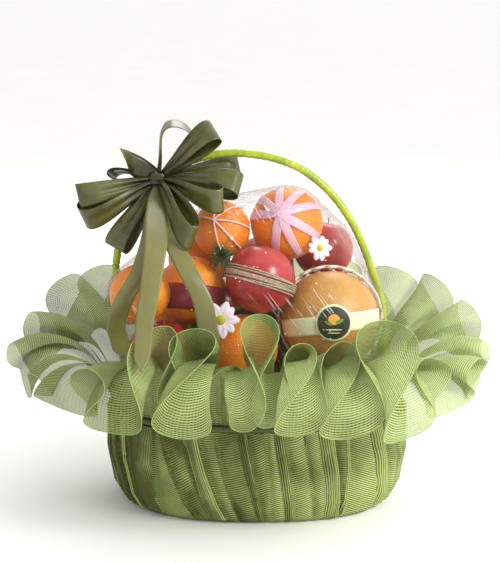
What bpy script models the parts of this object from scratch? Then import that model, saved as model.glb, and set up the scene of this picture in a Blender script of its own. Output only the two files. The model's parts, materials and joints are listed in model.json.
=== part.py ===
"""Fruit gift basket: an oval tub in pleated mesh, with a ruffle, a handle, a bow and filmed fruit.

Metres, +Z up, X to the right, Y to the back. The origin is the middle of the base, on the floor.
"""
import bisect
import math
import random

import bmesh
import bpy
from mathutils import Matrix, Vector, noise

GAP = 0.0003                  # play between pieces that touch

# Oval tub and the skin of pleated mesh round it, from the floor up:
# height, half width and half depth of the skin.
SKIN_PROFILE = (
    (0.000, 0.136, 0.098),
    (0.006, 0.147, 0.107),
    (0.022, 0.156, 0.1138),
    (0.060, 0.163, 0.1190),
    (0.1022, 0.162, 0.118),
)
PLAN_POWER = 2.4              # 2 is an ellipse, more is squarer
SKIN_THICKNESS = 0.005
TUB_WALL = 0.004
TUB_HEIGHT = 0.128
TUB_FLOOR = 0.004
RIM_HALF_WIDTH = 0.152
RIM_HALF_DEPTH = 0.112
TUB_COLUMNS = 28
PLEATS = 22
PLEAT_DEPTH = 0.0035
PLEAT_LEAN = 1.6              # pleats crossed from the top of the skin to its foot
PLEAT_STEPS = (0.0, 0.5, 1.0)     # depth at each column of one saw-tooth pleat
PLEAT_START = 0.012           # height over which the pleats grow to their full depth

BAND_BOTTOM = 0.1025
BAND_TOP = 0.1085
BAND_THICKNESS = 0.005

# Ruffle: one strip of mesh round the tub, whose free edge turns down and up by turns.
TURN_COLUMNS = 4
RUFFLE_ROWS = 4
RUFFLE_THICKNESS = 0.0016
RUFFLE_STAND_OFF = 0.0020
RUFFLE_BOTTOM = 0.1098
STRIP_START_ANGLE = 82.0      # degrees above level where the strip leaves the tub
END_SLANT = 13.0              # how much less steep it leaves at the two ends of the tub
ROOT_SHARE = 0.34             # share of the strip that rises nearly straight from the tub
ROOT_CURL = 0.12              # share of the strip's curl that lies in that part
EDGE_POINT = 0.84             # 0 makes the free edge a plain wave, 1 gives it pointed lobes
WOBBLE = 0.0105               # how far the strip strays from its even form
WOBBLE_SHIFTS = (3.0, 17.0, 41.0)     # where in the noise the strip's three strays are read
# Each turn of the free edge, from the left rear round the front to the right rear: its place
# round the tub as a share of the way from the front middle, the strip's curl outwards in
# degrees, the strip's length, the lobe's fullness and its lean to the right.
EDGE_TURNS = (
    (-0.375, 130, 0.120, 0.30, 0.000), (-0.343, 40, 0.142, 0.32, 0.000),
    (-0.328, 128, 0.114, 0.28, 0.000), (-0.316, 40, 0.134, 0.34, 0.000),
    (-0.292, 130, 0.114, 0.26, 0.000), (-0.270, 70, 0.136, 0.34, 0.000),
    (-0.254, 136, 0.124, 0.24, 0.000), (-0.236, 112, 0.150, 0.34, 0.000),
    (-0.210, 150, 0.144, 0.34, 0.000), (-0.190, 116, 0.130, 0.26, 0.000),
    (-0.157, 160, 0.138, 0.50, 0.004), (-0.134, 92, 0.128, 0.22, 0.000),
    (-0.108, 198, 0.188, 0.42, -0.004), (-0.086, 30, 0.124, 0.28, 0.004),
    (-0.078, 150, 0.110, 0.14, 0.000), (-0.061, 34, 0.120, 0.44, 0.008),
    (-0.047, 204, 0.186, 0.46, -0.018), (-0.029, 70, 0.104, 0.16, 0.002),
    (-0.021, 198, 0.174, 0.24, 0.004), (0.006, 26, 0.128, 0.48, 0.000),
    (0.018, 196, 0.156, 0.18, -0.012), (0.033, 48, 0.120, 0.30, 0.010),
    (0.047, 204, 0.184, 0.36, -0.016), (0.068, 36, 0.112, 0.22, 0.010),
    (0.080, 202, 0.178, 0.42, -0.012), (0.106, 28, 0.132, 0.48, 0.006),
    (0.120, 204, 0.184, 0.34, -0.014), (0.143, 74, 0.118, 0.24, 0.006),
    (0.162, 166, 0.134, 0.46, -0.004), (0.182, 90, 0.130, 0.24, 0.000),
    (0.200, 150, 0.120, 0.46, 0.000), (0.238, 86, 0.126, 0.34, 0.000),
    (0.262, 140, 0.114, 0.28, 0.000), (0.284, 54, 0.130, 0.34, 0.000),
    (0.303, 130, 0.114, 0.28, 0.000), (0.320, 36, 0.136, 0.30, 0.000),
    (0.338, 132, 0.116, 0.28, 0.000), (0.358, 36, 0.140, 0.32, 0.000),
    (0.385, 150, 0.124, 0.32, 0.000),
)
REAR_TURNS = 9                # further turns between the last and the first of those
REAR_UPPER = (38, 0.132, 0.32)
REAR_LOWER = (168, 0.140, 0.34)

# Arched handle, as points (x, z) in the plane y = 0.
HANDLE_RADIUS = 0.0041
HANDLE_POINTS = (
    (-0.1425, 0.062), (-0.1428, 0.128), (-0.1475, 0.175), (-0.1512, 0.215), (-0.1500, 0.257),
    (-0.1410, 0.295), (-0.1240, 0.326), (-0.1040, 0.345), (-0.0750, 0.3625), (-0.0340, 0.3725),
    (0.0080, 0.3695), (0.0400, 0.3590), (0.0610, 0.3455), (0.0820, 0.3255), (0.1020, 0.2965),
    (0.1170, 0.263), (0.1280, 0.231), (0.1340, 0.209), (0.1360, 0.170), (0.1400, 0.110),
    (0.1425, 0.062),
)
HANDLE_STEPS = 25

# Fruit: name, centre, radius, kind, and the way its stem end faces (across, up, front).
FRUITS = (
    ("orange_top", (0.0315, 0.0022, 0.2971), 0.0385, "orange", (-0.21, 0.20, 0.96)),
    ("orange_corded", (-0.0373, -0.0120, 0.2933), 0.0301, "orange", (-0.25, 0.29, 0.92)),
    ("orange_banded", (-0.0691, -0.0334, 0.2328), 0.0357, "orange", (0.10, 0.95, 0.25)),
    ("orange_left", (-0.1195, -0.0796, 0.2384), 0.0311, "orange", (-0.50, 0.80, -0.30)),
    ("apple_twined", (0.0034, -0.0516, 0.2478), 0.0362, "apple", (0.25, 0.90, -0.30)),
    ("orange_front", (-0.0148, -0.0529, 0.1748), 0.0362, "orange", (0.40, 0.85, 0.20)),
    ("apple_right", (0.0728, 0.0502, 0.2604), 0.0328, "apple", (0.20, 0.95, 0.10)),
    ("pear_banded", (0.0771, -0.0275, 0.2010), 0.0516, "pear", (-0.15, 0.97, -0.15)),
    ("apple_left", (-0.0996, -0.0655, 0.1762), 0.0331, "apple", (0.10, 0.97, 0.20)),
    ("orange_back_left", (-0.0967, 0.0196, 0.1937), 0.0340, "orange", (-0.30, 0.60, -0.70)),
    ("apple_back_low", (-0.0444, 0.0688, 0.1926), 0.0360, "apple", (0.20, 0.80, -0.55)),
    ("orange_back_low", (0.0283, 0.0758, 0.1765), 0.0370, "orange", (0.10, 0.70, -0.70)),
    ("orange_back_high", (-0.0626, 0.0348, 0.2532), 0.0340, "orange", (-0.20, 0.80, -0.50)),
    ("apple_back_high", (0.0061, 0.0464, 0.2407), 0.0350, "apple", (0.00, 0.90, -0.40)),
    ("apple_back_right", (0.0910, 0.0581, 0.1987), 0.0300, "apple", (0.40, 0.80, -0.40)),
)
BACK_FRUIT_MARK = "_back_"
FRUIT_COLUMNS = 14
FRUIT_ROWS = 9
BACK_COLUMNS = 10
BACK_ROWS = 6
PEAR_COLUMNS = 16
PEAR_ROWS = 10

# Shredded filler under the fruit.
FILLER_HALF_WIDTH = 0.130
FILLER_HALF_DEPTH = 0.093
# Sides of the filler in the tub: height, half width and half depth.
FILLER_SIDES = (
    (0.0066, 0.112, 0.076), (0.030, 0.127, 0.090), (0.060, FILLER_HALF_WIDTH, FILLER_HALF_DEPTH),
)
FILLER_RIM = 0.122
FILLER_RISE = 0.085
FILLER_RINGS = 6
FILLER_COLUMNS = 24
FILLER_CLEARANCE = 0.0012
FILLER_SLACK = (0.0085, 0.0155)   # how far round a point fruit is kept clear: middle, edge

# Clear film drawn tight over the fruit, pulled in where it passes the handle.
FILM_STAND_OFF = 0.0047
FILM_FOOT = 0.124
FILM_HALF_WIDTH = 0.134
FILM_HALF_DEPTH = 0.097
FILM_CUT = 0.004                # how far the hull runs below the foot before it is cut there
FILM_THICKNESS = 0.0007
FILM_PINCH = (-0.0140, -0.0055, 0.0055, 0.0140)
FILM_PINCH_REACH = 0.008        # the film is pulled in this far to both sides of the handle
FILM_PINCH_GAP = 0.0014
FILM_OVER_DAISY = 0.0035
FILM_FOOT_STEPS = 24
FILM_DAISY_STEPS = 8

# Trimmings on the fruit.
TRIM_GAP = 0.0008               # trimmings stand off the round of the fruit by this
STAR_ARMS = (100, 62, 27, -22, -62, -99, 178, 141)      # degrees round the stem end
STAR_HALF_WIDTH = 0.0048
STAR_REACH = 86.0
STAR_STEPS = 3
STAR_CORE = 3.2                 # radius of the crossing in half widths
CORD_ARMS = (95, 50, 3, -40, -76, 165)
CORD_HALF_WIDTH = 0.0009
TRIM_THICKNESS = 0.0006
TWINE_THICKNESS = 0.0012
TWINE_RIB = 0.0005              # how far the strands stand out
# Each band round a fruit: the fruit, the way its axis points (across, up, front), its lift
# along that axis, its half width, its two ends in degrees from the front, its thickness, and
# the strands, columns and rows of its mesh.
BELTS = {
    "red_band": ("orange_banded", (0.09, 1.0, -0.10), -0.0100, 0.0130, (0, 360),
                 TRIM_THICKNESS, (0, 24, 2)),
    "jute_twine": ("apple_twined", (0.30, 1.0, -0.08), -0.0010, 0.0070, (0, 360),
                   TWINE_THICKNESS, (3, 20, 3)),
    "pear_band": ("pear_banded", (-0.12, 1.0, 0.0), -0.0050, 0.0095, (-80, 78),
                  TRIM_THICKNESS, (0, 14, 2)),
}
FOAM_THICKNESS = 0.0020
FOAM_GAP = 0.0016
FOAM_LOOK = (0.10, 0.02, -1.0)  # the way the closed end of the cup points
FOAM_COVER = (30, 89)           # degrees from that way, from the open middle to the rim
FOAM_SCALLOPS = 12
FOAM_SCALLOP_DEPTH = 2.5        # degrees
FOAM_COLUMNS = 20
FOAM_ROWS = 3
LABEL_RADIUS = 0.0190
LABEL_LIFT = 0.0024
LABEL_LOOK = (0.02, -0.075, 1.0)
LABEL_COLUMNS = 16
LABEL_ROWS = 2

# Bow: knot on the handle and ribbon loops. Each loop: the way it points (across, up, front),
# its length, its half opening, the turn of its face about its length in degrees, and how far
# its end sags.
RIBBON_WIDTH = 0.026
RIBBON_THICKNESS = 0.0012
KNOT_CENTRE = (-0.1040, 0.0, 0.345)
KNOT_SIZE = (0.0125, 0.0095, 0.0090)
BOW_LOOPS = (
    ((0.39, 0.86, 0.34), 0.064, 0.0165, 14, 0.0),
    ((0.72, 0.59, 0.37), 0.083, 0.0110, 66, 0.0),
    ((0.97, 0.16, -0.20), 0.088, 0.0100, 78, 0.0),
    ((0.94, -0.08, 0.33), 0.092, 0.0120, 62, 0.001),
    ((0.75, -0.23, 0.63), 0.090, 0.0110, 118, 0.006),
    ((0.37, -0.48, 0.80), 0.102, 0.0095, 128, 0.016),
    ((-0.96, -0.22, 0.19), 0.087, 0.0105, 84, 0.0),
    ((-0.88, -0.45, 0.13), 0.090, 0.0150, 54, 0.0),
    ((-0.52, -0.85, 0.09), 0.086, 0.0100, 112, 0.0),
    ((-0.95, 0.08, -0.30), 0.054, 0.0052, 12, 0.0),
)
LOOP_STEPS = 9
LOOP_ROOT = 0.004             # where a loop leaves the knot's centre
LOOP_ROOT_GAP = 0.0022        # how far apart its two ends start
GATHERED_SHARE = 0.26         # width of the ribbon where it is gathered, as a share
POINTED_END = ((-0.79, 0.45, 0.41), 0.050)
POINTED_STEPS = 5
POINTED_SLANT = 0.42          # share of the length cut off along the slant
KNOT_COLUMNS = 14
KNOT_ROWS = 8

# Ribbon ends: points (x, y, z), half width at the top and at the end, and the turn of the
# ribbon's face about the vertical at the top and at the end, in degrees.
TAILS = {
    "bow_tail_front": (
        ((-0.1060, -0.0290, 0.3270), (-0.1035, -0.0560, 0.3160), (-0.1010, -0.0970, 0.2970),
         (-0.1035, -0.1210, 0.2720), (-0.1065, -0.1420, 0.2480), (-0.1090, -0.1640, 0.2300),
         (-0.1100, -0.1835, 0.2100), (-0.1105, -0.2060, 0.1910)),
        (0.0050, 0.0120, 0.0075), (12, -6)),
    "bow_tail_right": (
        ((-0.0985, -0.0220, 0.3205), (-0.0940, -0.0515, 0.3065), (-0.0820, -0.0830, 0.2865),
         (-0.0680, -0.1015, 0.2630), (-0.0550, -0.1090, 0.2380), (-0.0490, -0.1140, 0.2060),
         (-0.0470, -0.1150, 0.1880)),
        (0.0045, 0.0105, 0.0100), (18, 4)),
    "bow_tail_left": (
        ((-0.1075, -0.0190, 0.3300), (-0.1065, -0.0440, 0.3150), (-0.1085, -0.0800, 0.2930),
         (-0.1165, -0.1085, 0.2680), (-0.1330, -0.1180, 0.2400), (-0.1405, -0.1175, 0.2150),
         (-0.1375, -0.1130, 0.1970), (-0.1350, -0.1115, 0.1800)),
        (0.0045, 0.0100, 0.0100), (-24, 38)),
}

TAIL_STEPS = 11
TAIL_THICKNESS = 0.0010
TAIL_SPREAD = 0.286           # share of its length over which a ribbon end widens

# Daisies: centre, radius of the petal tips, the way the face looks, and the stem's end.
DAISIES = {
    "daisy_left": ((-0.0370, -0.0840, 0.2125), 0.0190, (-0.10, 0.10, 1.0),
                   (-0.0380, -0.0600, 0.2120)),
    "daisy_right": ((0.0656, -0.0300, 0.2767), 0.0130, (0.12, 0.10, 1.0),
                    (0.0660, 0.0100, 0.2620)),
}
PETALS = 9
PETAL_THICKNESS = 0.0010
PETAL_NOTCH = 0.42            # radius between two petals as a share of the tips' radius
PETAL_RISE = 0.14             # how far the petals bulge, as a share of that radius
BUTTON_RISE = 0.12
BUTTON_SHARE = 0.2
STEM_RADIUS = 0.0010
# Tufts of green between the fruit: centre, core radius and reach of the needles.
TUFTS = {
    "tuft_top": ((-0.0375, -0.0480, 0.2725), 0.0060, 0.0160),
    "tuft_low": ((-0.0650, -0.0720, 0.1940), 0.0060, 0.0150),
}
TUFT_COLUMNS = 8
TUFT_ROWS = 5
NEEDLE_GAP = 0.0008
NEEDLE_STEP = 0.001           # a needle that would touch a fruit is cut back by such steps
SEED = 11


def clear_scene():
    """Remove every object, so that the script starts from nothing."""
    for thing in list(bpy.data.objects):
        bpy.data.objects.remove(thing, do_unlink=True)


def new_collection(name):
    """Add a collection to the scene."""
    group = bpy.data.collections.new(name)
    bpy.context.scene.collection.children.link(group)
    return group


def material(name, colour, roughness, alpha=1.0):
    """Make a Principled material from a colour in 0 to 1 and a roughness."""
    made = bpy.data.materials.new(name)
    made.use_nodes = True
    shader = made.node_tree.nodes["Principled BSDF"]
    shader.inputs["Base Color"].default_value = (*colour, 1.0)
    shader.inputs["Roughness"].default_value = roughness
    shader.inputs["Metallic"].default_value = 0.0
    shader.inputs["Alpha"].default_value = alpha
    return made


def add_object(name, mesh, finish, group, smooth=True):
    """Add a mesh object with its finish to a collection."""
    thing = bpy.data.objects.new(name, mesh)
    mesh.materials.append(finish)
    group.objects.link(thing)
    if smooth:
        mesh.shade_smooth()
        mesh.set_sharp_from_angle(angle=math.radians(50))
    return thing


def facing(across, up, front):
    """Turn a direction seen from the front, 12 degrees above level, into x, y, z."""
    tilt = math.radians(12)
    right = Vector((1, 0, 0))
    upward = Vector((0, math.sin(tilt), math.cos(tilt)))
    toward = Vector((0, -math.cos(tilt), math.sin(tilt)))
    return (right * across + upward * up + toward * front).normalized()


def frame_on(direction):
    """Give two directions square to one direction: the first as level as it can be."""
    level = Vector((0, 0, 1)).cross(direction)
    if level.length < 0.05:
        level = Vector((1, 0, 0))
    level = (level - direction * level.dot(direction)).normalized()
    return level, direction.cross(level).normalized()


def mix(low, high, share):
    """Blend two numbers."""
    return low + (high - low) * share


def oval(half_width, half_depth, angle):
    """Point of the squared oval plan at an angle."""
    across, back = math.cos(angle), math.sin(angle)
    power = 2.0 / PLAN_POWER
    return (math.copysign(abs(across) ** power, across) * half_width,
            math.copysign(abs(back) ** power, back) * half_depth)


def ball(columns, rows, place):
    """Make a closed mesh from a UV sphere: place(column share, row number) moves each vertex.

    Row 0 is the lower pole, and the last row is the upper pole.
    """
    body = bmesh.new()
    bmesh.ops.create_uvsphere(body, u_segments=columns, v_segments=rows, radius=1.0)
    for vertex in body.verts:
        polar = math.acos(max(-1.0, min(1.0, -vertex.co.z)))
        row = round(polar / math.pi * rows)
        share = (math.atan2(vertex.co.y, vertex.co.x) / math.tau) % 1.0
        column = round(share * columns) % columns
        vertex.co = place(column / columns, row)
    mesh = bpy.data.meshes.new("ball")
    body.to_mesh(mesh)
    body.free()
    return mesh


def sheet_mesh(columns, rows, place, closed=False):
    """Make an open sheet from a grid: place(u, v) gives each vertex for u and v from 0 to 1."""
    body = bmesh.new()
    bmesh.ops.create_grid(body, x_segments=columns, y_segments=rows, size=0.5)
    for vertex in body.verts:
        vertex.co = place(vertex.co.x + 0.5, vertex.co.y + 0.5)
    if closed:
        bmesh.ops.remove_doubles(body, verts=body.verts, dist=0.00002)
    bmesh.ops.recalc_face_normals(body, faces=body.faces)
    mesh = bpy.data.meshes.new("sheet")
    body.to_mesh(mesh)
    body.free()
    return mesh


def thicken(thing, thickness, offset=0.0):
    """Give a sheet its thickness; offset -1 keeps the sheet as the outer face."""
    solid = thing.modifiers.new("Thickness", "SOLIDIFY")
    solid.thickness = thickness
    solid.offset = offset
    solid.use_even_offset = False
    return thing


def evaluated_mesh(thing):
    """Copy an object's mesh with its modifiers applied, in world space."""
    graph = bpy.context.evaluated_depsgraph_get()
    mesh = bpy.data.meshes.new_from_object(thing.evaluated_get(graph))
    mesh.transform(thing.matrix_world)
    return mesh


def boolean(thing, operation, cutter=None, group=None):
    """Apply one Boolean with an object or a collection and keep the result on the object."""
    cut = thing.modifiers.new(operation.title(), "BOOLEAN")
    cut.operation = operation
    cut.solver = "EXACT"
    if group:
        cut.operand_type = "COLLECTION"
        cut.collection = group
    else:
        cut.object = cutter
    finish = thing.data.materials[0]
    mesh = evaluated_mesh(thing)
    thing.modifiers.clear()
    thing.data = mesh
    mesh.materials.clear()
    mesh.materials.append(finish)
    for leftover in list(group.objects) if group else [cutter]:
        bpy.data.objects.remove(leftover, do_unlink=True)


def smooth_path(points, count):
    """Read count points from a smooth curve through the given points."""
    points = [Vector(point) for point in points]
    ends = [points[0] * 2 - points[1]] + points + [points[-1] * 2 - points[-2]]
    spans = len(points) - 1
    path = []
    for step in range(count):
        place = step / (count - 1) * spans
        span = min(int(place), spans - 1)
        t = place - span
        before, start, end, after = ends[span:span + 4]
        path.append(0.5 * ((2 * start) + (end - before) * t
                           + (2 * before - 5 * start + 4 * end - after) * t * t
                           + (3 * start - before - 3 * end + after) * t ** 3))
    return path


def tube(name, path, radius, finish, group):
    """Make a round tube along a path, as a curve with filled ends."""
    curve = bpy.data.curves.new(name, "CURVE")
    curve.dimensions = "3D"
    curve.bevel_depth = radius
    curve.bevel_resolution = 1
    curve.use_fill_caps = True
    spline = curve.splines.new("POLY")
    spline.points.add(len(path) - 1)
    for point, place in zip(spline.points, path):
        point.co = (*place, 1.0)
    thing = bpy.data.objects.new(name, curve)
    curve.materials.append(finish)
    group.objects.link(thing)
    return thing


def tube_as_mesh(name, path, radius, finish, group):
    """Make the same tube as a closed mesh, for cutting and joining."""
    thing = tube(name + "_curve", path, radius, finish, group)
    bpy.context.view_layer.update()
    mesh = evaluated_mesh(thing)
    body = bmesh.new()
    body.from_mesh(mesh)
    bmesh.ops.remove_doubles(body, verts=body.verts, dist=0.00001)
    bmesh.ops.recalc_face_normals(body, faces=body.faces)
    body.to_mesh(mesh)
    body.free()
    bpy.data.objects.remove(thing, do_unlink=True)
    mesh.materials.clear()
    return add_object(name, mesh, finish, group)


def vessel(columns, levels):
    """Closed oval body through levels of (height, half width, half depth), flat at both ends."""
    def place(share, row):
        if row == 0:
            return Vector((0, 0, levels[0][0]))
        if row > len(levels):
            return Vector((0, 0, levels[-1][0]))
        height, half_width, half_depth = levels[row - 1]
        return Vector((*oval(half_width, half_depth, share * math.tau), height))
    return ball(columns, len(levels) + 1, place)


def tub_levels(inset, floor, top):
    """Levels of the tub's outer shape, moved inwards by an inset."""
    levels = []
    for height, half_width, half_depth in SKIN_PROFILE[:1] + SKIN_PROFILE[2:-1]:
        levels.append((max(height, floor),
                       min(half_width - SKIN_THICKNESS, RIM_HALF_WIDTH) - inset,
                       min(half_depth - SKIN_THICKNESS, RIM_HALF_DEPTH) - inset))
    levels.append((top, RIM_HALF_WIDTH - inset, RIM_HALF_DEPTH - inset))
    return levels


def build_tub(finish, group, cutters):
    """Hollow oval tub."""
    outer = vessel(TUB_COLUMNS, tub_levels(0.0, TUB_FLOOR / 2, TUB_HEIGHT))
    tub = add_object("basket_tub", outer, finish, group)
    hollow = tub_levels(TUB_WALL, TUB_FLOOR / 2 + TUB_FLOOR, TUB_HEIGHT + 0.02)
    cutter = add_object("tub_hollow", vessel(TUB_COLUMNS, hollow), finish, cutters)
    bpy.context.view_layer.update()
    boolean(tub, "DIFFERENCE", cutter=cutter)


def build_skin(finish, group, cutters):
    """Pleated mesh skin, with leaning saw-tooth pleats and a plain inner face."""
    columns = PLEATS * len(PLEAT_STEPS)
    top = SKIN_PROFILE[-1][0]

    def place(share, row):
        if row == 0:
            return Vector((0, 0, 0))
        if row > len(SKIN_PROFILE):
            return Vector((0, 0, top))
        height, half_width, half_depth = SKIN_PROFILE[row - 1]
        column = round(share * columns)
        step = PLEAT_STEPS[column % len(PLEAT_STEPS)]
        depth = step * PLEAT_DEPTH * min(1.0, height / PLEAT_START)
        lean = PLEAT_LEAN * (1 - height / top) / PLEATS
        angle = (share + lean) * math.tau
        return Vector((*oval(half_width - depth, half_depth - depth, angle), height))

    outer = ball(columns, len(SKIN_PROFILE) + 1, place)
    skin = add_object("pleated_skin", outer, finish, group)
    hollow = tub_levels(-GAP, TUB_FLOOR / 2 - GAP, TUB_HEIGHT)
    cutter = add_object("skin_hollow", vessel(TUB_COLUMNS, hollow), finish, cutters)
    bpy.context.view_layer.update()
    boolean(skin, "DIFFERENCE", cutter=cutter)


def build_tie_band(finish, group):
    """Flat band tied round the tub over the top of the skin."""
    reach = BAND_THICKNESS / 2 + GAP + 0.0002

    def place(u, v):
        x, y = oval(RIM_HALF_WIDTH + reach, RIM_HALF_DEPTH + reach, u * math.tau)
        return Vector((x, y, mix(BAND_BOTTOM, BAND_TOP, v)))

    band = add_object("tie_band", sheet_mesh(TUB_COLUMNS, 1, place, closed=True), finish, group)
    thicken(band, BAND_THICKNESS)


def plan_walk(half_width, half_depth, count=720):
    """Angles at even steps of length round the oval, starting at the front middle."""
    start = -math.pi / 2
    angles = [start + math.tau * step / count for step in range(count + 1)]
    corners = [Vector(oval(half_width, half_depth, angle)) for angle in angles]
    walked = [0.0]
    for here, there in zip(corners, corners[1:]):
        walked.append(walked[-1] + (there - here).length)

    def angle_at(share):
        target = (share % 1.0) * walked[-1]
        step = max(1, bisect.bisect_left(walked, target))
        part = (target - walked[step - 1]) / (walked[step] - walked[step - 1])
        return mix(angles[step - 1], angles[step], part)
    return angle_at


def arc_point(length, start, turn):
    """End of an arc: distance out and up for its length, start angle and turn in degrees."""
    half = math.radians(turn) / 2
    chord = length * (math.sin(half) / half if abs(half) > 1e-4 else 1.0)
    heading = math.radians(start) - half
    return chord * math.cos(heading), chord * math.sin(heading)


def strip_point(length, start, curl, v):
    """Place along the strip, out and up from its foot: a nearly straight root, then a curl."""
    root = min(v / ROOT_SHARE, 1.0)
    out, up = arc_point(length * ROOT_SHARE * root, start, curl * ROOT_CURL * root)
    if v > ROOT_SHARE:
        rest = (v - ROOT_SHARE) / (1 - ROOT_SHARE)
        further, higher = arc_point(length * (v - ROOT_SHARE), start - curl * ROOT_CURL,
                                    curl * (1 - ROOT_CURL) * rest)
        out, up = out + further, up + higher
    return out, up


def rim_place(angle):
    """Point of the ruffle's foot line round the tub at an angle, and the way outwards there."""
    half_width = RIM_HALF_WIDTH + RUFFLE_STAND_OFF
    half_depth = RIM_HALF_DEPTH + RUFFLE_STAND_OFF
    ahead = Vector(oval(half_width, half_depth, angle + 0.01))
    behind = Vector(oval(half_width, half_depth, angle - 0.01))
    along = (ahead - behind).normalized()
    return Vector(oval(half_width, half_depth, angle)), Vector((along.y, -along.x))


def edge_turns():
    """Every turn of the ruffle's free edge, those at the rear with small seeded differences."""
    draw = random.Random(SEED)
    turns = list(EDGE_TURNS)
    first, last = EDGE_TURNS[0][0] + 1.0, EDGE_TURNS[-1][0]
    for step in range(1, REAR_TURNS + 1):
        share = mix(last, first, (step + draw.uniform(-0.2, 0.2)) / (REAR_TURNS + 1))
        curl, strip, width = REAR_UPPER if step % 2 else REAR_LOWER
        turns.append((share, curl + draw.uniform(-9, 9), strip * draw.uniform(0.92, 1.08), width, 0.0))
    return turns


def ruffle_point(u, v, angle_at, turns):
    """Point of the ruffle: u runs round the tub, v from the tub to the free edge."""
    place = u * len(turns) % len(turns)
    index = int(place)
    part = place - index
    here, after = turns[index], turns[(index + 1) % len(turns)]
    ahead = after[0] if after[0] > here[0] else after[0] + 1.0
    soft = part * part * (3 - 2 * part)
    swung = (1 - math.asin(EDGE_POINT * math.cos(math.pi * part)) / math.asin(EDGE_POINT)) / 2
    curl = mix(here[1], after[1], swung)
    strip, fullness, lean = (mix(here[item], after[item], soft) for item in (2, 3, 4))
    share, step = mix(here[0], ahead, part), 0.5 / len(turns)
    foot, outward = rim_place(angle_at(share))
    out, up = strip_point(strip, STRIP_START_ANGLE - END_SLANT * abs(outward.x), curl, v)
    near, near_outward = rim_place(angle_at(share - step))
    far, far_outward = rim_place(angle_at(share + step))
    spacing = 2 * ((far + far_outward * out) - (near + near_outward * out)).length
    along = Vector((-outward.y, outward.x))
    swing = (fullness * spacing * math.sin(math.tau * part) + lean) * v ** 0.8
    flat = foot + outward * out + along * swing
    turn = share * math.tau
    stray = Vector([noise.noise((math.cos(turn) * 9, math.sin(turn) * 9, v * 2.2 + shift))
                    for shift in WOBBLE_SHIFTS])
    return Vector((flat.x, flat.y, RUFFLE_BOTTOM + up)) + stray * WOBBLE * v


def build_ruffle(finish, group):
    """Ruffle of mesh that swings up and down in lobes all round the tub."""
    angle_at = plan_walk(RIM_HALF_WIDTH, RIM_HALF_DEPTH)
    turns = edge_turns()
    mesh = sheet_mesh(len(turns) * TURN_COLUMNS, RUFFLE_ROWS,
                      lambda u, v: ruffle_point(u, v, angle_at, turns), closed=True)
    thicken(add_object("ruffle", mesh, finish, group), RUFFLE_THICKNESS)


def handle_path(count=HANDLE_STEPS):
    """Centre line of the handle."""
    return smooth_path([(x, 0.0, z) for x, z in HANDLE_POINTS], count)


def build_handle(finish, group):
    """Arched handle, one tube from foot to foot."""
    tube("handle", handle_path(), HANDLE_RADIUS, finish, group)


def fruit_profile(kind, polar):
    """Radius share along a fruit's skin at a polar angle from its stem end."""
    dimple = {"orange": 0.035, "apple": 0.15, "pear": 0.06}[kind]
    spread = {"orange": 0.16, "apple": 0.34, "pear": 0.26}[kind]
    base = {"orange": 0.012, "apple": 0.05, "pear": 0.03}[kind]
    squat = {"orange": 0.025, "apple": 0.02, "pear": 0.02}[kind]
    share = 1.0 - squat * math.cos(polar) ** 2
    share -= dimple * math.exp(-(polar / spread) ** 2)
    share -= base * math.exp(-((math.pi - polar) / spread) ** 2)
    return share


def build_fruit(entry, finish, group):
    """One fruit: a sphere drawn in at its stem end and its foot."""
    name, centre, radius, kind, pole = entry
    columns, rows = FRUIT_COLUMNS, FRUIT_ROWS
    if BACK_FRUIT_MARK in name:
        columns, rows = BACK_COLUMNS, BACK_ROWS
    elif kind == "pear":
        columns, rows = PEAR_COLUMNS, PEAR_ROWS
    axis = facing(*pole)
    level, upright = frame_on(axis)

    def place(share, row):
        polar = math.pi * (1 - row / rows)
        reach = radius * fruit_profile(kind, polar)
        angle = share * math.tau
        ring = level * math.cos(angle) + upright * math.sin(angle)
        return Vector(centre) + (ring * math.sin(polar) + axis * math.cos(polar)) * reach
    add_object(name, ball(columns, rows, place), finish, group)


def fruit(name):
    """Centre and radius of a fruit by name."""
    entry = next(item for item in FRUITS if item[0] == name)
    return Vector(entry[1]), entry[2]


def build_belt(name, finish, group):
    """Band round a fruit, square to the band's axis."""
    fruit_name, look, lift, half_width, arc, thickness, (strands, columns, rows) = BELTS[name]
    centre, radius = fruit(fruit_name)
    normal = facing(*look)
    front = facing(0, 0, 1)
    front = (front - normal * front.dot(normal)).normalized()
    across = normal.cross(front).normalized()
    surface = radius + TRIM_GAP + thickness / 2

    def place(u, v):
        angle = math.radians(mix(arc[0], arc[1], u))
        reach = surface + TWINE_RIB * math.sin(math.pi * strands * v) ** 2
        rise = lift + mix(-half_width, half_width, v)
        flat = math.sqrt(max(reach ** 2 - rise ** 2, 0.0))
        return centre + normal * rise + (front * math.cos(angle) + across * math.sin(angle)) * flat
    closed = arc[1] - arc[0] >= 360
    belt = add_object(name, sheet_mesh(columns, rows, place, closed=closed), finish, group)
    thicken(belt, thickness)


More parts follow.
